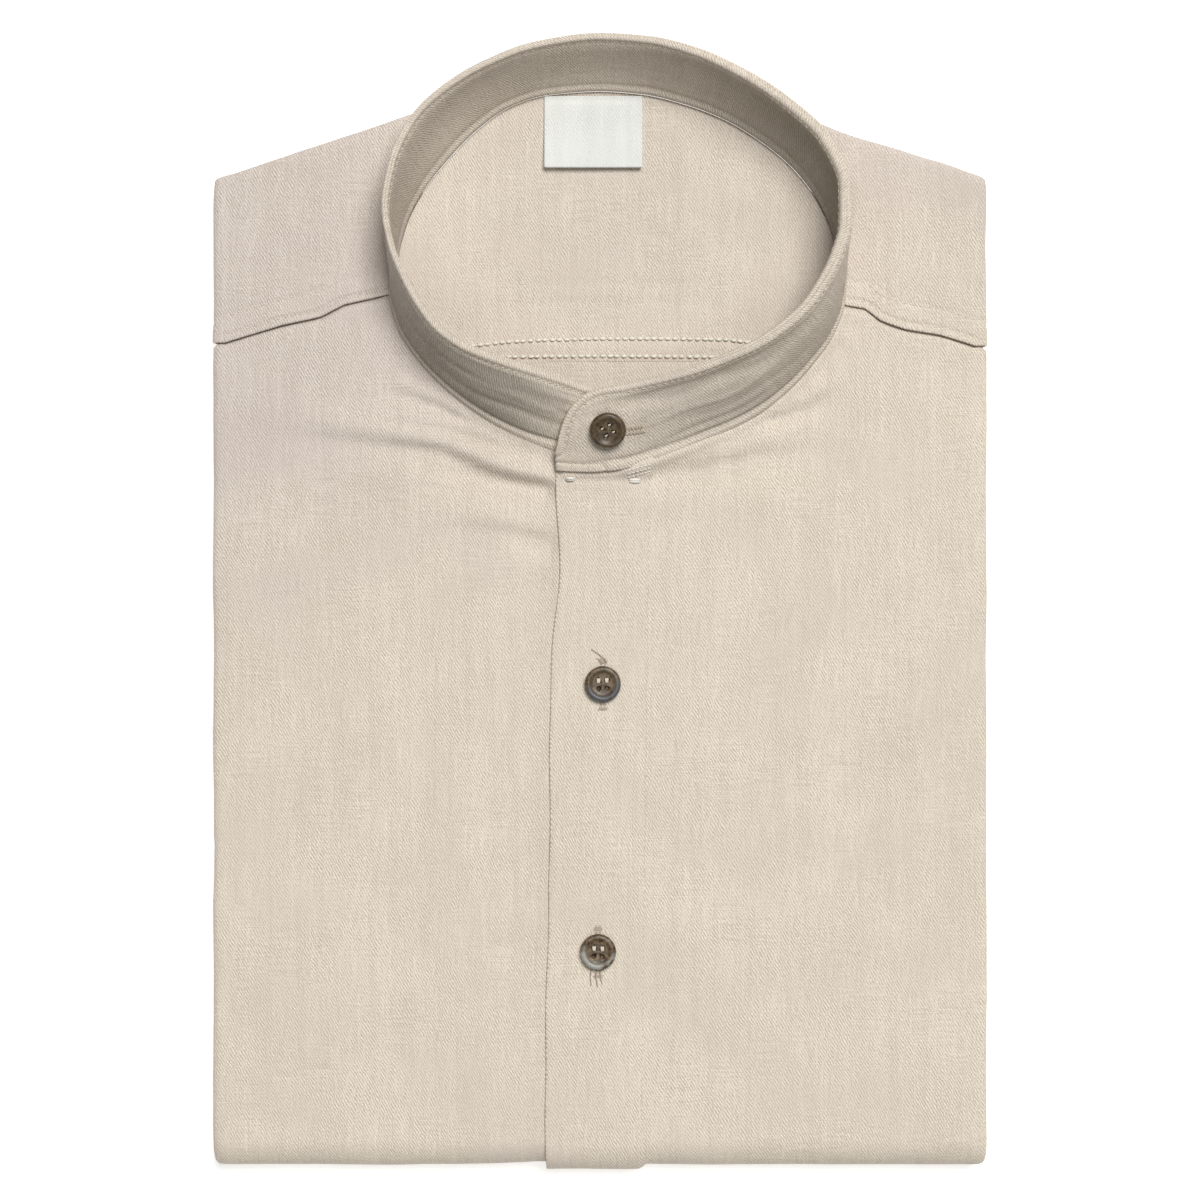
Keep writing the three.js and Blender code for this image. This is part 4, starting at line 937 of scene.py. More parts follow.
def lining_grid():
    left, right = inside_neck[:, 0].min() + 0.25, inside_neck[:, 0].max() - 0.25
    x = lerp(left, right, 0.5 - 0.5 * np.cos(np.linspace(0, math.pi, 150)))
    lows, highs = [], []
    a, b = inside_neck[:-1], inside_neck[1:]
    for at in x:
        hit = (a[:, 0] <= at) != (b[:, 0] <= at)
        ys = (a[:, 1] + (b[:, 1] - a[:, 1]) * (at - a[:, 0]) / (b[:, 0] - a[:, 0] + 1e-9))[hit]
        lows.append(max(LINING_SEAM_Y, ys.min() if len(ys) > 1 else LINING_SEAM_Y))
        highs.append(ys.max())
    y = lerp(np.array(lows)[:, None], np.array(highs)[:, None], (np.linspace(0, 1, 110) ** 1.1)[None, :])
    return np.broadcast_to(x[:, None], y.shape), y


LINING_ROWS = [
    np.array([
        [-46, 82.6], [-38, 83.7], [-30, 84.6], [-20, 85.2], [0, 85.7], [20, 85.7], [40, 85.4], [50, 84.2],
    ]),
    np.array([[-44, 79.9], [-30, 80.0], [0, 80.3], [34, 80.0], [48, 79.8]]),
]
lining_x, lining_y = lining_grid()
lining_z, lining_off = lining_height(lining_x, lining_y)
lining_z += 0.22 * ripple(lining_x * 0.5, lining_y, 41, 30) * smooth(1, 12, lining_off)
pressed = hump(lining_y, 97.0, 1.6) + 0.8 * hump(lining_y, 103.0, 1.8)
lining_z -= 0.22 * pressed * smooth(-40, -20, lining_x) * (1 - smooth(20, 42, lining_x))
for row in LINING_ROWS:
    off, run = from_line(lining_x, lining_y, row)
    lining_z -= 0.16 * hump(off, 0, 0.8) * (1 + 0.4 * wave(run, 1.9))
lining_z += 0.25 * hump(lining_y, 82.8, 2.0)
lining_z -= 0.25 * (1 - smooth(LINING_SEAM_Y, LINING_SEAM_Y + 1.5, lining_y))
lining_points = np.stack([lining_x, lining_y, lining_z], -1)
lining_wall = lerp(0.35, WALL - 0.1, smooth(LINING_SEAM_Y, LINING_SEAM_Y + 4, lining_y))
lining, lining_normals = cloth_piece("lining_cloth", lining_points, lining_wall, lining_points[..., :2])

back_x = np.linspace(BACK["left"], BACK["right"], 70)
back_y = np.linspace(BACK["south"], BACK["north"], 26)
back_x, back_y = np.meshgrid(back_x, back_y, indexing="ij")
back_rise = 0.12 * smooth(75.5, 78.4, back_y) + 0.05 * ripple(back_x, back_y, 51, 18)
back_points = np.stack([back_x, back_y, BACK["top"] + np.minimum(back_rise, 0.1)], -1)
back, _ = cloth_piece("back_cloth", back_points, WALL - 0.2, back_points[..., :2])

# ---- Blank neck label ----
label_s, label_t = np.meshgrid(np.linspace(0, 1, 70), np.linspace(0, 1, 50), indexing="ij")
label_x = lerp(LABEL["left"], LABEL["right"], label_s)
label_y = lerp(LABEL["top"], LABEL["bottom"], label_t)
label_z = np.maximum(lining_height(label_x, label_y)[0], LINING_TOP) + LABEL["thickness"] + 0.35
label_z += LABEL["lift"] * label_t ** 2 * (1 - 0.18 * np.sin(math.pi * label_s))
label_z -= 0.3 * hump(label_t, 0.03, 0.05)
label_points = np.stack([label_x, label_y, label_z], -1)
label, _ = cloth_piece("blank_label", label_points, LABEL["thickness"] - 0.15, label_points[..., :2])

# ---- Hidden layers ----
# z of its top, thickness, half width, north end, south end, seed of its wavy edge
LAYERS = [
    [2.55, 1.45, 120.9, 124.0, -164.0, 61],
    [4.10, 1.45, 121.4, 122.6, -163.0, 62],
    [5.65, 1.45, 121.2, 124.3, -162.0, 63],
    [6.75, 1.00, 108.0, 123.0, -161.0, 64],
    [7.75, 0.95, 108.2, 124.4, -160.0, 65],
    [8.85, 1.00, 120.6, 123.6, -159.0, 66],
    [9.95, 1.00, 120.6, 131.5, -159.0, 67],
    [11.30, 1.25, 108.2, 131.8, -160.0, 68],
    [12.55, 1.15, 120.8, 131.4, -161.0, 69],
]


def layer_sheet(top, thickness, half_width, north, south, seed):
    t = np.concatenate([np.linspace(0, 0.06, 8), np.linspace(0.06, 1, 26)[1:]])
    s, t = np.meshgrid(np.linspace(-1, 1, 90), t, indexing="ij")
    edge = 0.55 * ripple(s * half_width, np.zeros_like(s), seed, 55, 4)
    side = 0.35 * ripple(np.zeros_like(s), t * 290, seed + 20, 60, 4) * np.abs(s)
    x = s * (half_width + side - 0.2)
    y = lerp(north + edge, south, t)
    points = np.stack([x, y, top + 0.05 * ripple(x, y, seed + 40, 60, 4)], -1)
    return shell(points, thickness, points[..., :2], faces_down(points))


layers = joined_object("folded_layers_cloth", [layer_sheet(*row) for row in LAYERS])


# ---- Stitches ----
def settle(points, normals, xy):
    """Points and normals of a grid where it lies over each place in plan."""
    up = normals[..., 2] > 0.2
    flat, ways = points[up], normals[up]
    off = np.linalg.norm(xy[:, None, :] - flat[None, :, :2], axis=2)
    near = np.argsort(off, 1)[:, :4]
    weight = 1 / (np.take_along_axis(off, near, 1) + 1e-3)
    weight /= weight.sum(1, keepdims=True)
    z = (flat[near, 2] * weight).sum(1)
    return np.column_stack([xy, z]), unit((ways[near] * weight[..., None]).sum(1))


THREAD_RINGS = 5
THREAD_SIDES = 6


def threads(centres, ways, normals, length, radius, rings=THREAD_RINGS):
    """Stitches as short rounded threads: the centre, direction and surface normal of each."""
    centres, ways, normals = np.asarray(centres), unit(np.asarray(ways)), unit(np.asarray(normals))
    number, sides = len(centres), THREAD_SIDES
    length = np.broadcast_to(length, number)[:, None]
    cross = unit(np.cross(normals, ways))
    lift = np.cross(ways, cross)
    points = []
    for u in np.linspace(-1, 1, rings):
        fat = radius * math.sqrt(np.clip(1 - abs(u) ** 3, 0.06, 1))
        bow = (1 - u ** 2) * 0.45 * radius
        for angle in np.arange(sides) * 2 * math.pi / sides:
            outward = cross * (fat * math.cos(angle)) + lift * (fat * math.sin(angle) * 0.8 + bow)
            points.append(centres + ways * (u * length / 2) + outward)
    flat = np.stack(points, 1).reshape(-1, 3)
    count = rings * sides
    ring = np.arange(sides)
    walls = []
    for k in range(rings - 1):
        low, high = k * sides + ring, (k + 1) * sides + ring
        walls.append(np.stack([low, np.roll(low, -1), np.roll(high, -1), high], 1))
    starts = np.arange(number) * count
    faces = (np.concatenate(walls)[None] + starts[:, None, None]).reshape(-1, 4).tolist()
    for cap in (ring[::-1], (rings - 1) * sides + ring):
        faces += (cap[None] + starts[:, None]).tolist()
    run = np.tile(np.linspace(0, 1, count), number)
    which = np.repeat(np.arange(number), count)
    return flat, faces, np.column_stack([run, which, np.zeros(len(flat))])


def along_line(at, run, line):
    """Points at distances along a line, in as many columns as the line has."""
    return np.stack([np.interp(at, run, line[:, k]) for k in range(line.shape[1])], 1)


def stitch_row(line, surface, pitch, share, radius, sink=0.3):
    """A row of stitches along a line in plan, on a surface given by its points and normals."""
    run = arc(line)
    at = np.arange(pitch / 2, run[-1], pitch)
    at = at + rng.normal(0, 0.06 * pitch, len(at))
    centre, normal = settle(*surface, along_line(at, run, line))
    way = along_line(at + 0.5, run, line) - along_line(at - 0.5, run, line)
    way = np.column_stack([way, np.zeros(len(at))])
    way = way - normal * (way * normal).sum(1, keepdims=True)
    length = pitch * share * rng.uniform(0.9, 1.1, len(at))
    return threads(centre + normal * radius * (1 - 2 * sink), way, normal, length, radius)


def band_row(start, end, side, below_top, up, radius, sink):
    """A row of stitches along the collar, at a distance below its edge or above its base."""
    stations = np.linspace(start, end, 1600)
    height = collar_frame(stations)[3]
    level = np.full(len(stations), up) if below_top is None else height - below_top
    ups, outs = band_section(stations)
    if side < 0:
        ups, outs = ups[::-1], outs[::-1]
    ups, outs = ups[:FACE_STEPS], outs[:FACE_STEPS]
    out = np.array([np.interp(level[k], ups[:, k], outs[:, k]) for k in range(len(stations))])
    line = place_on_band(stations, level, out)
    run = arc(line)
    at = np.arange(STITCH_PITCH / 2, run[-1], STITCH_PITCH)
    at = at + rng.normal(0, 0.05 * STITCH_PITCH, len(at))
    way = along_line(at + 0.4, run, line) - along_line(at - 0.4, run, line)
    normal = collar_frame(np.interp(at, run, stations))[2] * side
    centre = along_line(at, run, line) + normal * radius * (1 - 2 * sink)
    return threads(centre, way, normal, STITCH_PITCH * 0.62, radius)


left_surface = (left_points, left_normals)
placket_y = np.linspace(42.5, BOTTOM_CENTRE_Y, 60)
placket_line = np.stack([leaned(np.full(60, PLACKET_STITCH_X), placket_y), placket_y], 1)
front_stitches = joined_object("front_stitches", [
    stitch_row(placket_line, left_surface, STITCH_PITCH, 0.55, 0.13, 0.42)
])
yoke_stitches = joined_object("yoke_stitches", [
    stitch_row(seam_line(side, off, (0.06, 1.0)), (yoke_points, yoke_normals), 2.5, 0.58, 0.17, 0.40)
    for side in (1, -1) for off in YOKE_STITCH_OFFS
])
lining_stitches = joined_object("lining_stitches", [
    stitch_row(row, (lining_points, lining_normals), STITCH_PITCH, 0.84, 0.60, 0.22) for row in LINING_ROWS
])
tab_edge = TAB_EDGE[TAB_EDGE[:, 1] > 44.5, :2][:150]
tab_way = unit(np.gradient(tab_edge, axis=0))
tab_inner = respaced(tab_edge + 2.5 * np.stack([tab_way[:, 1], -tab_way[:, 0]], 1), 0.5)
on_tab = band_at < TAB_STATION + 1
tab_grid = collar_points[:COLLAR_COLUMNS * FACE_STEPS].reshape(FACE_STEPS, COLLAR_COLUMNS, 3)[:, on_tab]
tab_normals = np.broadcast_to(collar_frame(band_at[on_tab])[2][None], tab_grid.shape)
# from station, to station, side, distance below the edge, distance above the base, radius, how deep it lies
BAND_ROWS = [
    (5.4, 40.8, 1, 2.6, None, 0.22, 0.3),
    (6.5, 40.5, -1, 2.4, None, 0.15, 0.35),
    (0.3, 13.8, 1, None, 2.9, 0.14, 0.4),
    (31.2, 39.5, 1, None, 2.9, 0.14, 0.4),
]
tab_row = stitch_row(tab_inner, (tab_grid, tab_normals), STITCH_PITCH, 0.62, 0.26)
collar_stitches = joined_object("collar_stitches", [tab_row] + [band_row(*row) for row in BAND_ROWS])

# ---- Buttons ----
BUTTON = dict(diameter=11.4, thickness=2.6, rim=1.7, dish=0.7, hole=1.5, spacing=2.6)
BUTTON_SIDES = 72
# The holes stop this far above the button's base: the thin floor of dark horn left in each stands for the shade
# inside a through hole.
HOLE_SHADE_FLOOR = 0.3
HOLE = BUTTON["spacing"] / 2
HOLES = [(-HOLE, -HOLE), (HOLE, -HOLE), (-HOLE, HOLE), (HOLE, HOLE)]
DISH_FLOOR = BUTTON["thickness"] - BUTTON["dish"]


def button_blank(name):
    """A turned button without its holes."""
    radius = BUTTON["diameter"] / 2
    inner = radius - BUTTON["rim"]
    # radius, height
    profile = np.array([
        [radius - 1.5, 0], [radius - 0.7, 0.18], [radius - 0.2, 0.6], [radius, 1.1], [radius, 1.7],
        [radius - 0.12, 2.1], [radius - 0.4, 2.42], [radius - 0.8, 2.57], [radius - 1.2, 2.6],
        [radius - 1.5, 2.5],
        [inner - 0.1, 2.25], [inner - 0.5, DISH_FLOOR + 0.08], [inner - 1.0, DISH_FLOOR - 0.02],
        [inner - 2.0, DISH_FLOOR - 0.02],
    ])
    ring = np.arange(BUTTON_SIDES)
    after = np.roll(ring, -1)
    points = [[0, 0, 0], [0, 0, DISH_FLOOR]]
    for r, z in profile:
        points += [[r * math.cos(a), r * math.sin(a), z] for a in 2 * math.pi * ring / BUTTON_SIDES]
    faces = []
    for k in range(len(profile) - 1):
        low, high = 2 + k * BUTTON_SIDES, 2 + (k + 1) * BUTTON_SIDES
        faces += np.stack([low + ring, low + after, high + after, high + ring], 1).tolist()
    last = len(points) - BUTTON_SIDES
    for n, m in zip(ring.tolist(), after.tolist()):
        faces += [[0, 2 + m, 2 + n], [1, last + n, last + m]]
    return mesh_object(name, points, faces, {})


def drill_holes(button):
    top = BUTTON["thickness"]
    drills = []
    # Blind holes, whose floor of horn stands for the shade inside each hole.
    for x, y in HOLES:
        bpy.ops.mesh.primitive_cylinder_add(
            vertices=24, radius=BUTTON["hole"] / 2 * MM, depth=2 * (top - HOLE_SHADE_FLOOR) * MM,
            location=(x * MM, y * MM, top * MM))
        drills.append(bpy.context.object)
    bpy.ops.object.select_all(action="DESELECT")
    for drill in drills:
        drill.select_set(True)
    bpy.context.view_layer.objects.active = drills[0]
    bpy.ops.object.join()
    drill = bpy.context.object
    cut = button.modifiers.new("holes", "BOOLEAN")
    cut.operation, cut.object, cut.solver = "DIFFERENCE", drill, "EXACT"
    bpy.context.view_layer.objects.active = button
    bpy.ops.object.modifier_apply(modifier=cut.name)
    bpy.data.objects.remove(drill)


def horn_button(name, centre, normal, spin):
    """A button whose base has its centre on a place, and its directions before and after it is spun."""
    button = button_blank(name)
    drill_holes(button)
    mesh = button.data
    local = np.empty(len(mesh.vertices) * 3, np.float32)
    mesh.vertices.foreach_get("co", local)
    local = local.reshape(-1, 3).astype(float)
    add_attribute(mesh, "cloth", local / MM)
    z = unit(np.asarray(normal, float))
    x = unit(np.cross([0, 1, 0], z))
    y = np.cross(z, x)
    turned_x = math.cos(spin) * x + math.sin(spin) * y
    turned_y = math.cos(spin) * y - math.sin(spin) * x
    world = local @ np.array([turned_x, turned_y, z]) + centre * MM
    mesh.vertices.foreach_set("co", world.astype(np.float32).ravel())
    mesh.polygons.foreach_set("use_smooth", np.ones(len(mesh.polygons), bool))
    mesh.update()
    return button, x, y, z, turned_x, turned_y


def button_thread(node, centre, x, y, z, turned_x, turned_y):
    """The threads that show in a button's holes."""
    on_collar = node == "collar_button"
    centres, ways = [], []
    for px, py in HOLES if on_collar else HOLES[2:]:
        for shift in (-0.25, 0.0, 0.25) if on_collar else (-0.42, -0.14, 0.14, 0.42):
            if on_collar:
                place, depth, way = (px + shift, py), -0.10, y * 0.8 + z * 0.5 + x * shift
            else:
                place, depth, way = (px + shift * 0.9, py - 0.15), 0.25, y + x * shift * 0.25
            centres.append(centre + place[0] * turned_x + place[1] * turned_y + z * (DISH_FLOOR + depth))
            ways.append(way)
    return threads(centres, ways, [z] * len(centres), 1.1 if on_collar else 1.75, 0.19)


tab_out = collar_frame(np.float64(4.0))[2]
# node, outward direction, spin
BUTTONS = [
    ("front_button_1", np.array([0, 0, 1.0]), 0.05),
    ("front_button_2", np.array([0, 0, 1.0]), -0.04),
    ("collar_button", tab_out, 0.5),
]
buttons, button_threads = [], []
for node, outward, spin in BUTTONS:
    low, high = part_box(node)
    centre = (np.array(low) + np.array(high)) / 2 / MM - outward * BUTTON["thickness"] / 2
    button, *directions = horn_button("horn_" + node, centre, outward, spin)
    buttons.append((button, node))
    button_threads.append(button_thread(node, centre, *directions))
sewn_threads = joined_object("button_threads", button_threads)


# ---- Bar tacks, buttonholes and loose ends ----
def bar(centre, way, normal, length, radius, strands=3, spread=0.3):
    """A thread bar: strands side by side."""
    way, normal = unit(np.asarray(way, float)), unit(np.asarray(normal, float))
    cross = np.cross(normal, way)
    offsets = (np.arange(strands) - (strands - 1) / 2) * spread
    centres = [centre + cross * o + normal * radius * (0.6 if k % 2 else 0.3) for k, o in enumerate(offsets)]
    return threads(centres, [way] * strands, [normal] * strands, length, radius, rings=7)


def on_left(x, y):
    point, normal = settle(*left_surface, np.array([[x, y]]))
    return point[0], normal[0]


def laid_thread(line, lift, length, radius):
    """A thread in short lengths along a line in plan, lifted off the left front."""
    centres, normals = settle(*left_surface, (line[1:] + line[:-1]) / 2)
    ways = np.column_stack([line[1:] - line[:-1], np.zeros(len(line) - 1)])
    lifts = np.linspace(*lift, len(centres))[:, None]
    return threads(centres + normals * lifts, ways, normals, length, radius)


# x, y, length
TACKS = [(-9.4, 41.3, 3.0), (11.0, 40.6, 3.8)]
TAB_TACK = np.array([[8.6, 43.5], [16.2, 45.6]])
# middle of each placket buttonhole
BUTTONHOLES = [(0.9, -24.0), (-0.6, -108.8)]
# points along the thread, height above the cloth at each end, radius
LOOSE_ENDS = [
    ([[2.2, -17.2], [1.5, -16.2], [0.5, -15.2], [-0.5, -14.4], [-1.5, -13.8], [-2.7, -13.0]],
     (0.75, 0.35), 0.15),
    ([[0.6, -17.6], [0.4, -16.9], [-0.3, -16.2], [-1.2, -15.9]], (0.5, 0.3), 0.12),
    ([[-2.7, -114.6], [-3.0, -116.6], [-2.8, -119.5]], (0.8, 0.5), 0.15),
    ([[-1.3, -115.0], [-1.2, -117.0], [-0.7, -119.9]], (0.8, 0.5), 0.15),
    ([[0.1, -115.0], [0.2, -117.2], [0.7, -119.0]], (0.8, 0.4), 0.13),
]

placket_parts = []
for x, y in BUTTONHOLES:
    for side in (-1, 1):
        for t in np.arange(-8.2, 8.3, 0.42):
            point, normal = on_left(x + side * 0.55, y + t)
            placket_parts.append(bar(point, [1, 0.12 * side, 0], normal, 0.95, 0.13, 1))
    for end in (-7.9, 7.1):
        point, normal = on_left(x, y + end)
        placket_parts.append(bar(point, [1, 0, 0], normal, 3.0, 0.17, 3, 0.34))
for points, lift, radius in LOOSE_ENDS:
    placket_parts.append(laid_thread(respaced(np.array(points), 0.5), lift, 0.72, radius))
placket_details = joined_object("placket_details", placket_parts)

# The collar's buttonhole lies along the band, and runs on past the button toward the wearer's left.
tab_stations = np.linspace(3, 8, 60)
tab_x = collar_line(0, tab_stations)
buttonhole = []
for t in np.arange(5.2, 14.6, 0.62):
    base, up_way, out_way, height, _, along_way = collar_frame(np.interp(t + 1.0, tab_x, tab_stations))
    for side in (-1, 1):
        level = height * 0.47 + side * 0.85 - 0.10 * (t - 6)
        spot = base + up_way * level + out_way * 0.42
        slant = 0.5 * side + 0.4 * math.sin(5 * t)
        buttonhole.append(bar(spot, up_way + along_way * slant, out_way, 1.8, 0.24, 1))
collar_buttonhole = joined_object("collar_buttonhole", buttonhole)

details = []
for x, y, length in TACKS:
    point, normal = on_left(x, y)
    details.append(bar(point + normal * 0.35, [1, -0.02, 0], normal, length, 0.55, 2, 0.6))
for row in range(3):
    details.append(laid_thread(respaced(TAB_TACK - [0, 1.05 * row], 1.3), (0.1, 0.1), 1.15, 0.2))
thread_details = joined_object("thread_details", details)


# ---- Materials ----
def linear(*colour):
    """A linear colour from red, green and blue out of 255."""
    shares = [c / 255 for c in colour]
    return tuple(((c + 0.055) / 1.055) ** 2.4 if c > 10 / 255 else c / 12.92 for c in shares) + (1.0,)


class Graph:
    """A short way to write a material's nodes."""

    def __init__(self, name):
        self.material = bpy.data.materials.new(name)
        self.material.use_nodes = True
        self.tree = self.material.node_tree
        self.shader = self.tree.nodes["Principled BSDF"]

    def add(self, kind, inputs=None, out=0, **settings):
        node = self.tree.nodes.new(kind)
        for key, value in settings.items():
            setattr(node, key, value)
        for key, value in (inputs or {}).items():
            if isinstance(value, bpy.types.NodeSocket):
                self.tree.links.new(value, node.inputs[key])
            else:
                node.inputs[key].default_value = value
        return node.outputs[out]

    def math(self, operation, a, b=0.0, c=0.0):
        return self.add("ShaderNodeMath", {0: a, 1: b, 2: c}, operation=operation)

    def vector(self, operation, a, b=(0.0, 0.0, 0.0)):
        out = 1 if operation in ("DOT_PRODUCT", "LENGTH") else 0
        return self.add("ShaderNodeVectorMath", {0: a, 1: b}, out=out, operation=operation)

    def remap(self, value, from_low, from_high, to_low=0.0, to_high=1.0):
        return self.add("ShaderNodeMapRange", {0: value, 1: from_low, 2: from_high, 3: to_low, 4: to_high})

    def noise(self, vector, scale, detail=2.0, rough=0.5):
        scaled = self.vector("MULTIPLY", vector, scale)
        inputs = {"Vector": scaled, "Scale": 1.0, "Detail": detail, "Roughness": rough}
        return self.add("ShaderNodeTexNoise", inputs)

    def centred(self, *noise):
        return self.math("SUBTRACT", self.noise(*noise), 0.5)

    def mix(self, factor, a, b, blend="MIX"):
        settings = dict(data_type="RGBA", blend_type=blend, clamp_factor=True)
        return self.add("ShaderNodeMix", {0: factor, 6: a, 7: b}, out=2, **settings)

    def finish(self, colour, rough, height=None, bump=0.5, distance=0.0001, **values):
        self.tree.links.new(colour, self.shader.inputs["Base Color"])
        if isinstance(rough, bpy.types.NodeSocket):
            self.tree.links.new(rough, self.shader.inputs["Roughness"])
        else:
            self.shader.inputs["Roughness"].default_value = rough
        if height is not None:
            normal = self.add("ShaderNodeBump", {"Strength": bump, "Distance": distance, "Height": height})
            self.tree.links.new(normal, self.shader.inputs["Normal"])
        for key, value in values.items():
            self.shader.inputs[key.replace("_", " ")].default_value = value
        return self.material


TWILL_PITCH = 0.78
TWILL_ANGLE = math.radians(-61)
TWILL_STEP = 2 * math.pi / TWILL_PITCH
TWILL_WAY = (-math.sin(TWILL_ANGLE) * TWILL_STEP, math.cos(TWILL_ANGLE) * TWILL_STEP, 0.0)
COUNTER_WAY = (TWILL_STEP * 0.62, TWILL_STEP * 0.55, 0.0)
# Painted shade: the cooler, darker colour that the cloth grows toward on the side of the wearer's right
# shoulder.
SIDE_SHADE_TINT = (0.855, 0.848, 0.933, 1.0)
# How much one unit of the shade attribute darkens the colour: painted shade.
FACE_SHADE = 0.2


def cloth_material(name, dark, light, contrast=1.0, blush=(212, 200, 191), side_shade=0.0):
    """Twill with uneven yarns, from where each point is on its flat cloth in millimetres."""
    g = Graph(name)
    place = g.add("ShaderNodeAttribute", out=1, attribute_name="cloth")
    wobble = g.add("ShaderNodeTexNoise", {"Vector": place, "Scale": 0.09, "Detail": 2.0}, out=1)
    wobble = g.vector("MULTIPLY", g.vector("SUBTRACT", wobble, (0.5, 0.5, 0.5)), (1.6, 1.6, 0.0))
    bent = g.vector("ADD", place, wobble)
    jitter = g.noise(bent, (1.3, 1.1, 0.0), 1.0)
    phase = g.math("ADD", g.vector("DOT_PRODUCT", bent, TWILL_WAY), g.math("MULTIPLY", jitter, 6.0))
    twill = g.math("MULTIPLY", g.math("SINE", phase), 0.5)
    phase = g.math("ADD", g.vector("DOT_PRODUCT", bent, COUNTER_WAY), g.math("MULTIPLY", jitter, 4.0))
    counter = g.math("MULTIPLY", g.math("SINE", phase), 0.22)
    vary = g.remap(g.noise(place, (0.06, 0.08, 0.0), 2.0), 0.35, 0.65, 0.55, 1.2)
    twill = g.math("MULTIPLY", g.math("ADD", twill, counter), vary)
    warp = g.centred(bent, (2.6, 0.075, 0.0), 3.0, 0.6)
    patches = g.remap(g.noise(place, (0.03, 0.05, 0.0), 2.0), 0.46, 0.62, 0.2, 1.0)
    weft = g.math("MULTIPLY", g.centred(bent, (0.085, 2.7, 0.0), 3.0, 0.6), patches)
    grain = g.centred(bent, (2.2, 1.6, 0.0), 2.0, 0.7)
    tone = g.centred(place, (0.035, 0.028, 0.0), 3.0, 0.55)
    bands = g.centred(bent, (0.30, 0.010, 0.0), 2.0, 0.5)
    total = 0.47
    for part, share in (
        (twill, contrast), (warp, contrast), (weft, 1.7 * contrast), (grain, 1.9 * contrast),
        (tone, 0.5), (bands, 0.45),
    ):
        total = g.math("MULTIPLY_ADD", part, share, total)
    slub = g.remap(g.noise(bent, (0.75, 0.05, 0.0), 3.0, 0.6), 0.60, 0.72, 0.0, 0.26)
    total = g.math("ADD", total, slub)
    colour = g.mix(total, linear(*dark), linear(*light))
    cool = g.remap(g.noise(place, (0.024, 0.034, 0.0), 2.0), 0.47, 0.66, 0.0, 0.34)
    colour = g.mix(cool, colour, linear(*blush))
    # Painted shade: the colour grows cooler and darker toward the wearer's right shoulder, by each point's place
    # on its flat cloth.
    if side_shade:
        toward = g.remap(g.vector("DOT_PRODUCT", place, (-0.5, 1.0, 0.0)), 10.0, 120.0, 0.0, side_shade)
        colour = g.mix(toward, colour, SIDE_SHADE_TINT, "MULTIPLY")
    # Painted shade: the shade attribute darkens the colour toward black.
    shade = g.add("ShaderNodeAttribute", out=2, attribute_name="shade")
    colour = g.mix(g.math("MULTIPLY", shade, FACE_SHADE), colour, (0.0, 0.0, 0.0, 1.0))
    height = g.math("MULTIPLY_ADD", twill, 0.7, g.math("MULTIPLY", grain, 0.9))
    height = g.math("MULTIPLY_ADD", warp, 0.8, height)
    height = g.math("MULTIPLY_ADD", weft, 0.8, height)
    rough = g.math("MULTIPLY_ADD", total, -0.1, 0.93)
    return g.finish(
        colour, rough, height, bump=0.55, distance=0.00016, Sheen_Weight=0.06, Sheen_Roughness=0.4,
        Sheen_Tint=(1.0, 0.97, 0.92, 1.0), Specular_IOR_Level=0.25)


def thread_material(name, colour, shine=0.5):
    g = Graph(name)
    place = g.add("ShaderNodeAttribute", out=1, attribute_name="cloth")
    twist = g.vector("DOT_PRODUCT", place, (60.0, 7.0, 0.0))
    ply = g.math("MULTIPLY_ADD", g.math("SINE", twist), 0.5, 0.5)
    shade = g.noise(place, (0.7, 1.7, 0.0), 2.0)
    dark = tuple(int(c * 0.86) for c in colour)
    lit = g.math("MULTIPLY_ADD", shade, 0.8, g.math("MULTIPLY", ply, 0.3))
    body = g.mix(lit, linear(*dark), linear(*colour))
    return g.finish(body, shine, ply, bump=0.4, distance=0.00005, Sheen_Weight=0.2, Specular_IOR_Level=0.4)


def horn_material(name, body, deep, pale, rim, shift, marble, reach=1.5):
    """Streaked horn. Part of the rim is clouded with its own colour, above a distance from the middle."""
    g = Graph(name)
    place = g.add("ShaderNodeAttribute", out=1, attribute_name="cloth")
    moved = g.vector("ADD", place, shift)
    streak = g.add("ShaderNodeTexNoise", {"Vector": moved, "Scale": 0.42, "Detail": 4.0, "Distortion": 1.6})
    fine = g.noise(moved, (1.6, 0.5, 1.0), 4.0, 0.6)
    colour = g.mix(g.remap(streak, 0.38, 0.64), linear(*deep), linear(*body))
    colour = g.mix(g.remap(fine, 0.55, 0.75, 0.0, 0.5), colour, linear(*pale))
    on_rim = g.remap(g.vector("LENGTH", place), 4.0, 4.9)
    cloud = g.remap(g.noise(moved, (0.28, 0.28, 0.2), 2.0), 0.44 - marble, 0.62 - marble)
    below = g.remap(g.vector("DOT_PRODUCT", place, (0.25, -1.0, 0.0)), -reach - 1.5, -reach + 1.5)
    colour = g.mix(g.math("MULTIPLY", on_rim, g.math("MULTIPLY", cloud, below)), colour, linear(*rim))
    rough = g.math("MULTIPLY_ADD", fine, 0.2, 0.34)
    return g.finish(
        colour, rough, g.math("ADD", fine, streak), bump=0.12, distance=0.0001,
        Coat_Weight=0.12, Coat_Roughness=0.25, Specular_IOR_Level=0.5)


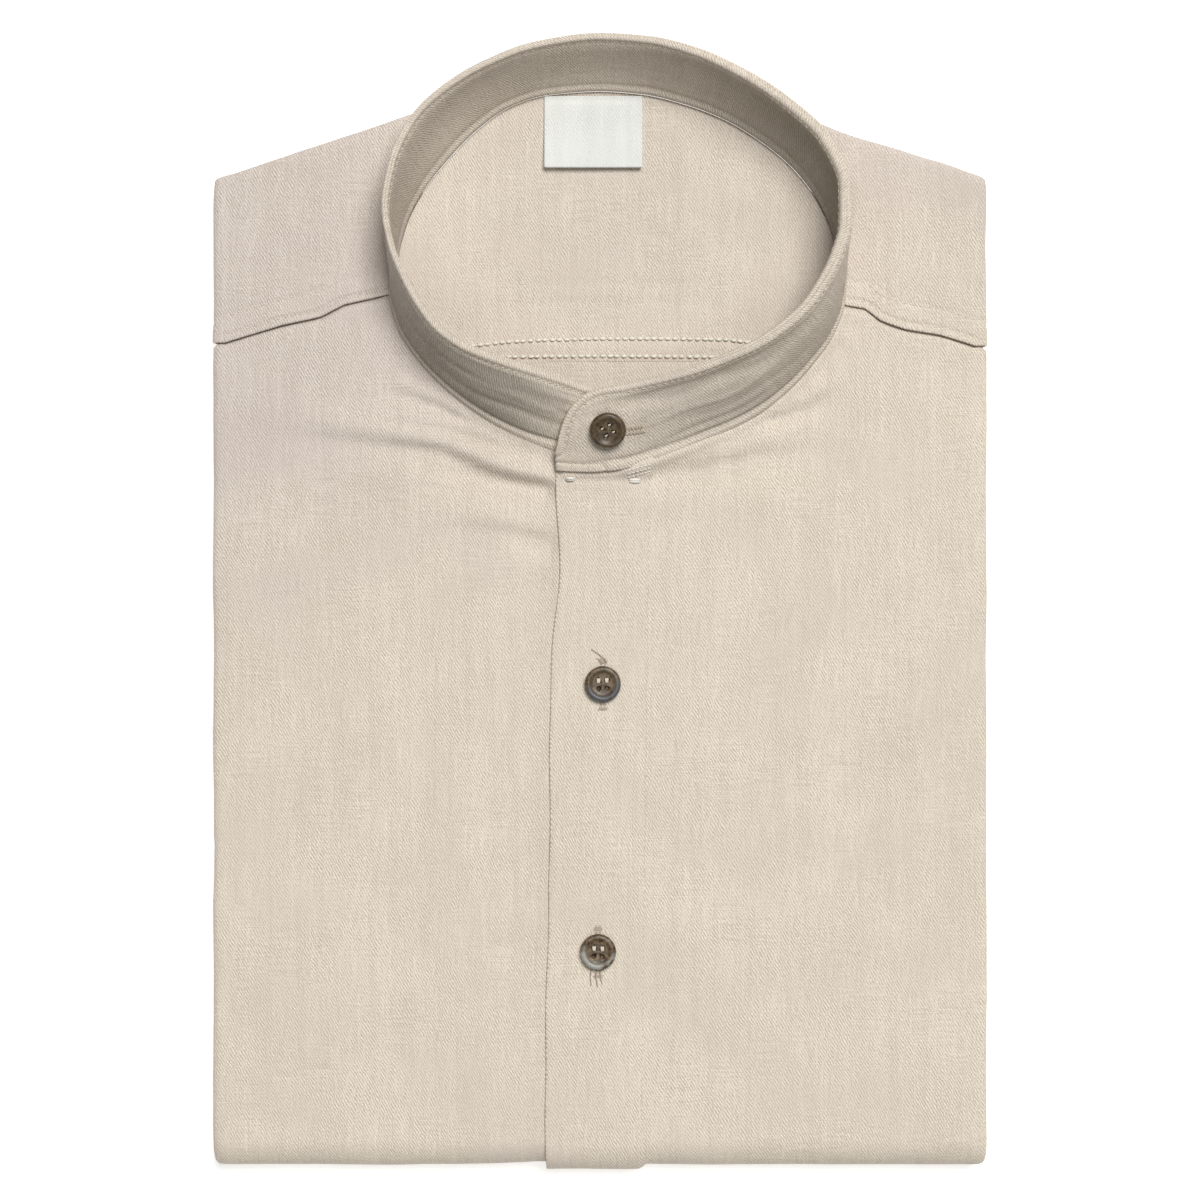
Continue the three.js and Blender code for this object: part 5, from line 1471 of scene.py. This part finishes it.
# The shirt cloth carries strong painted shade toward the wearer's right shoulder, and the lining a faint one.
cloth = cloth_material("shirt_cloth", (199, 187, 170), (239, 229, 214), side_shade=0.75)
collar_finish = cloth_material("collar_cloth", (190, 178, 163), (236, 226, 212), 1.15)
lining_finish = cloth_material("lining_cloth", (195, 184, 170), (233, 223, 209), 0.95, side_shade=0.1)
label_finish = cloth_material("label_weave", (212, 215, 210), (240, 242, 238), 0.35, (214, 219, 219))
cloth_thread = thread_material("cloth_thread", (232, 222, 206))
lining_thread = thread_material("lining_thread", (253, 247, 234))
buttonhole_thread = thread_material("buttonhole_thread", (216, 202, 184))
tail_thread = thread_material("tail_thread", (200, 186, 172))
sewing_thread = thread_material("sewing_thread", (238, 226, 206), 0.5)
bright_thread = thread_material("bright_thread", (255, 251, 243), 0.35)
# name, body, deep, pale, rim, shift of the pattern, how much of the rim is clouded, how far up that reaches
HORNS = [
    ("horn_grey_rim", (112, 94, 70), (66, 52, 36), (142, 132, 112), (86, 87, 91), (3.1, 7.7, 0.0), 0.12, 0.0),
    ("horn_marbled", (116, 96, 68), (62, 48, 32), (158, 142, 112), (158, 158, 151), (11.3, 2.2, 0.0),
     0.06, 2.0),
    ("horn_dark", (98, 80, 57), (62, 49, 34), (122, 102, 77), (88, 76, 60), (21.0, 15.0, 0.0), -0.02),
]


def dress(obj, material, slot, *replaced):
    obj.data.materials.clear()
    obj.data.materials.append(material)
    if replaced:
        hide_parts(*replaced)
    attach(obj, "root")


dress(right_front, cloth, "cloth", "right_front")
dress(left_front, cloth, "cloth", "left_front", "placket")
dress(yoke, cloth, "cloth", "yoke")
dress(layers, cloth, "cloth", "folded_layers")
dress(lining, lining_finish, "lining_cloth", "yoke_lining")
dress(back, lining_finish, "lining_cloth", "back")
dress(collar, collar_finish, "collar_cloth", "collar_outer", "collar_inner")
dress(label, label_finish, "label", "neck_label")
dress(front_stitches, cloth_thread, "cloth")
dress(yoke_stitches, cloth_thread, "cloth")
dress(lining_stitches, lining_thread, "lining_cloth")
dress(collar_stitches, cloth_thread, "collar_cloth")
dress(collar_buttonhole, buttonhole_thread, "collar_cloth")
dress(thread_details, bright_thread, "cloth")
dress(placket_details, tail_thread, "cloth")
dress(sewn_threads, sewing_thread, "button")
for (button, node), horn in zip(buttons, HORNS):
    dress(button, horn_material(*horn), "button", node)

# ---- Floor, light and camera ----
FLOOR = 3.0 / MM
corners = [[-FLOOR, -FLOOR, 0], [FLOOR, -FLOOR, 0], [FLOOR, FLOOR, 0], [-FLOOR, FLOOR, 0]]
floor = mesh_object("floor", corners, [[0, 1, 2, 3]], {})
pale = Graph("pale_floor")
cloudy = pale.noise(pale.add("ShaderNodeNewGeometry"), (2.0, 2.0, 0.0), 2.0)
pale.finish(
    pale.mix(cloudy, (0.90, 0.90, 0.895, 1.0), (0.93, 0.93, 0.925, 1.0)), 0.9, Specular_IOR_Level=0.1,
    Emission_Color=(1.0, 1.0, 1.0, 1.0), Emission_Strength=0.5)
floor.data.materials.append(pale.material)
floor.location.z = -0.0002


def area_light(name, place, size, power, colour):
    """A round light that shines at the middle of the shirt."""
    data = bpy.data.lights.new(name, "AREA")
    data.shape = "DISK"
    data.size, data.energy, data.color = size, power, colour
    light = bpy.data.objects.new(name, data)
    light.location = place
    light.rotation_euler = (-Vector(place)).to_track_quat("-Z", "Y").to_euler()
    bpy.context.collection.objects.link(light)


area_light("key", (0.88, 1.76, 4.38), 2.3, 214.0, (1.0, 0.99, 0.975))
area_light("overhead", (0.0, -0.7, 1.6), 1.0, 4.4, (1.0, 0.975, 0.935))
world = bpy.data.worlds.new("studio")
world.use_nodes = True
background = world.node_tree.nodes["Background"]
background.inputs["Color"].default_value = (0.97, 0.985, 1.0, 1.0)
background.inputs["Strength"].default_value = 0.11
bpy.context.scene.world = world
bpy.context.scene.view_settings.view_transform = "Standard"

camera_data = bpy.data.cameras.new("camera")
camera_data.sensor_width = 36.0
camera_data.lens = 102.4
camera = bpy.data.objects.new("camera", camera_data)
camera.location = (0.0, 0.0026, 1.1)
bpy.context.collection.objects.link(camera)
bpy.context.scene.camera = camera
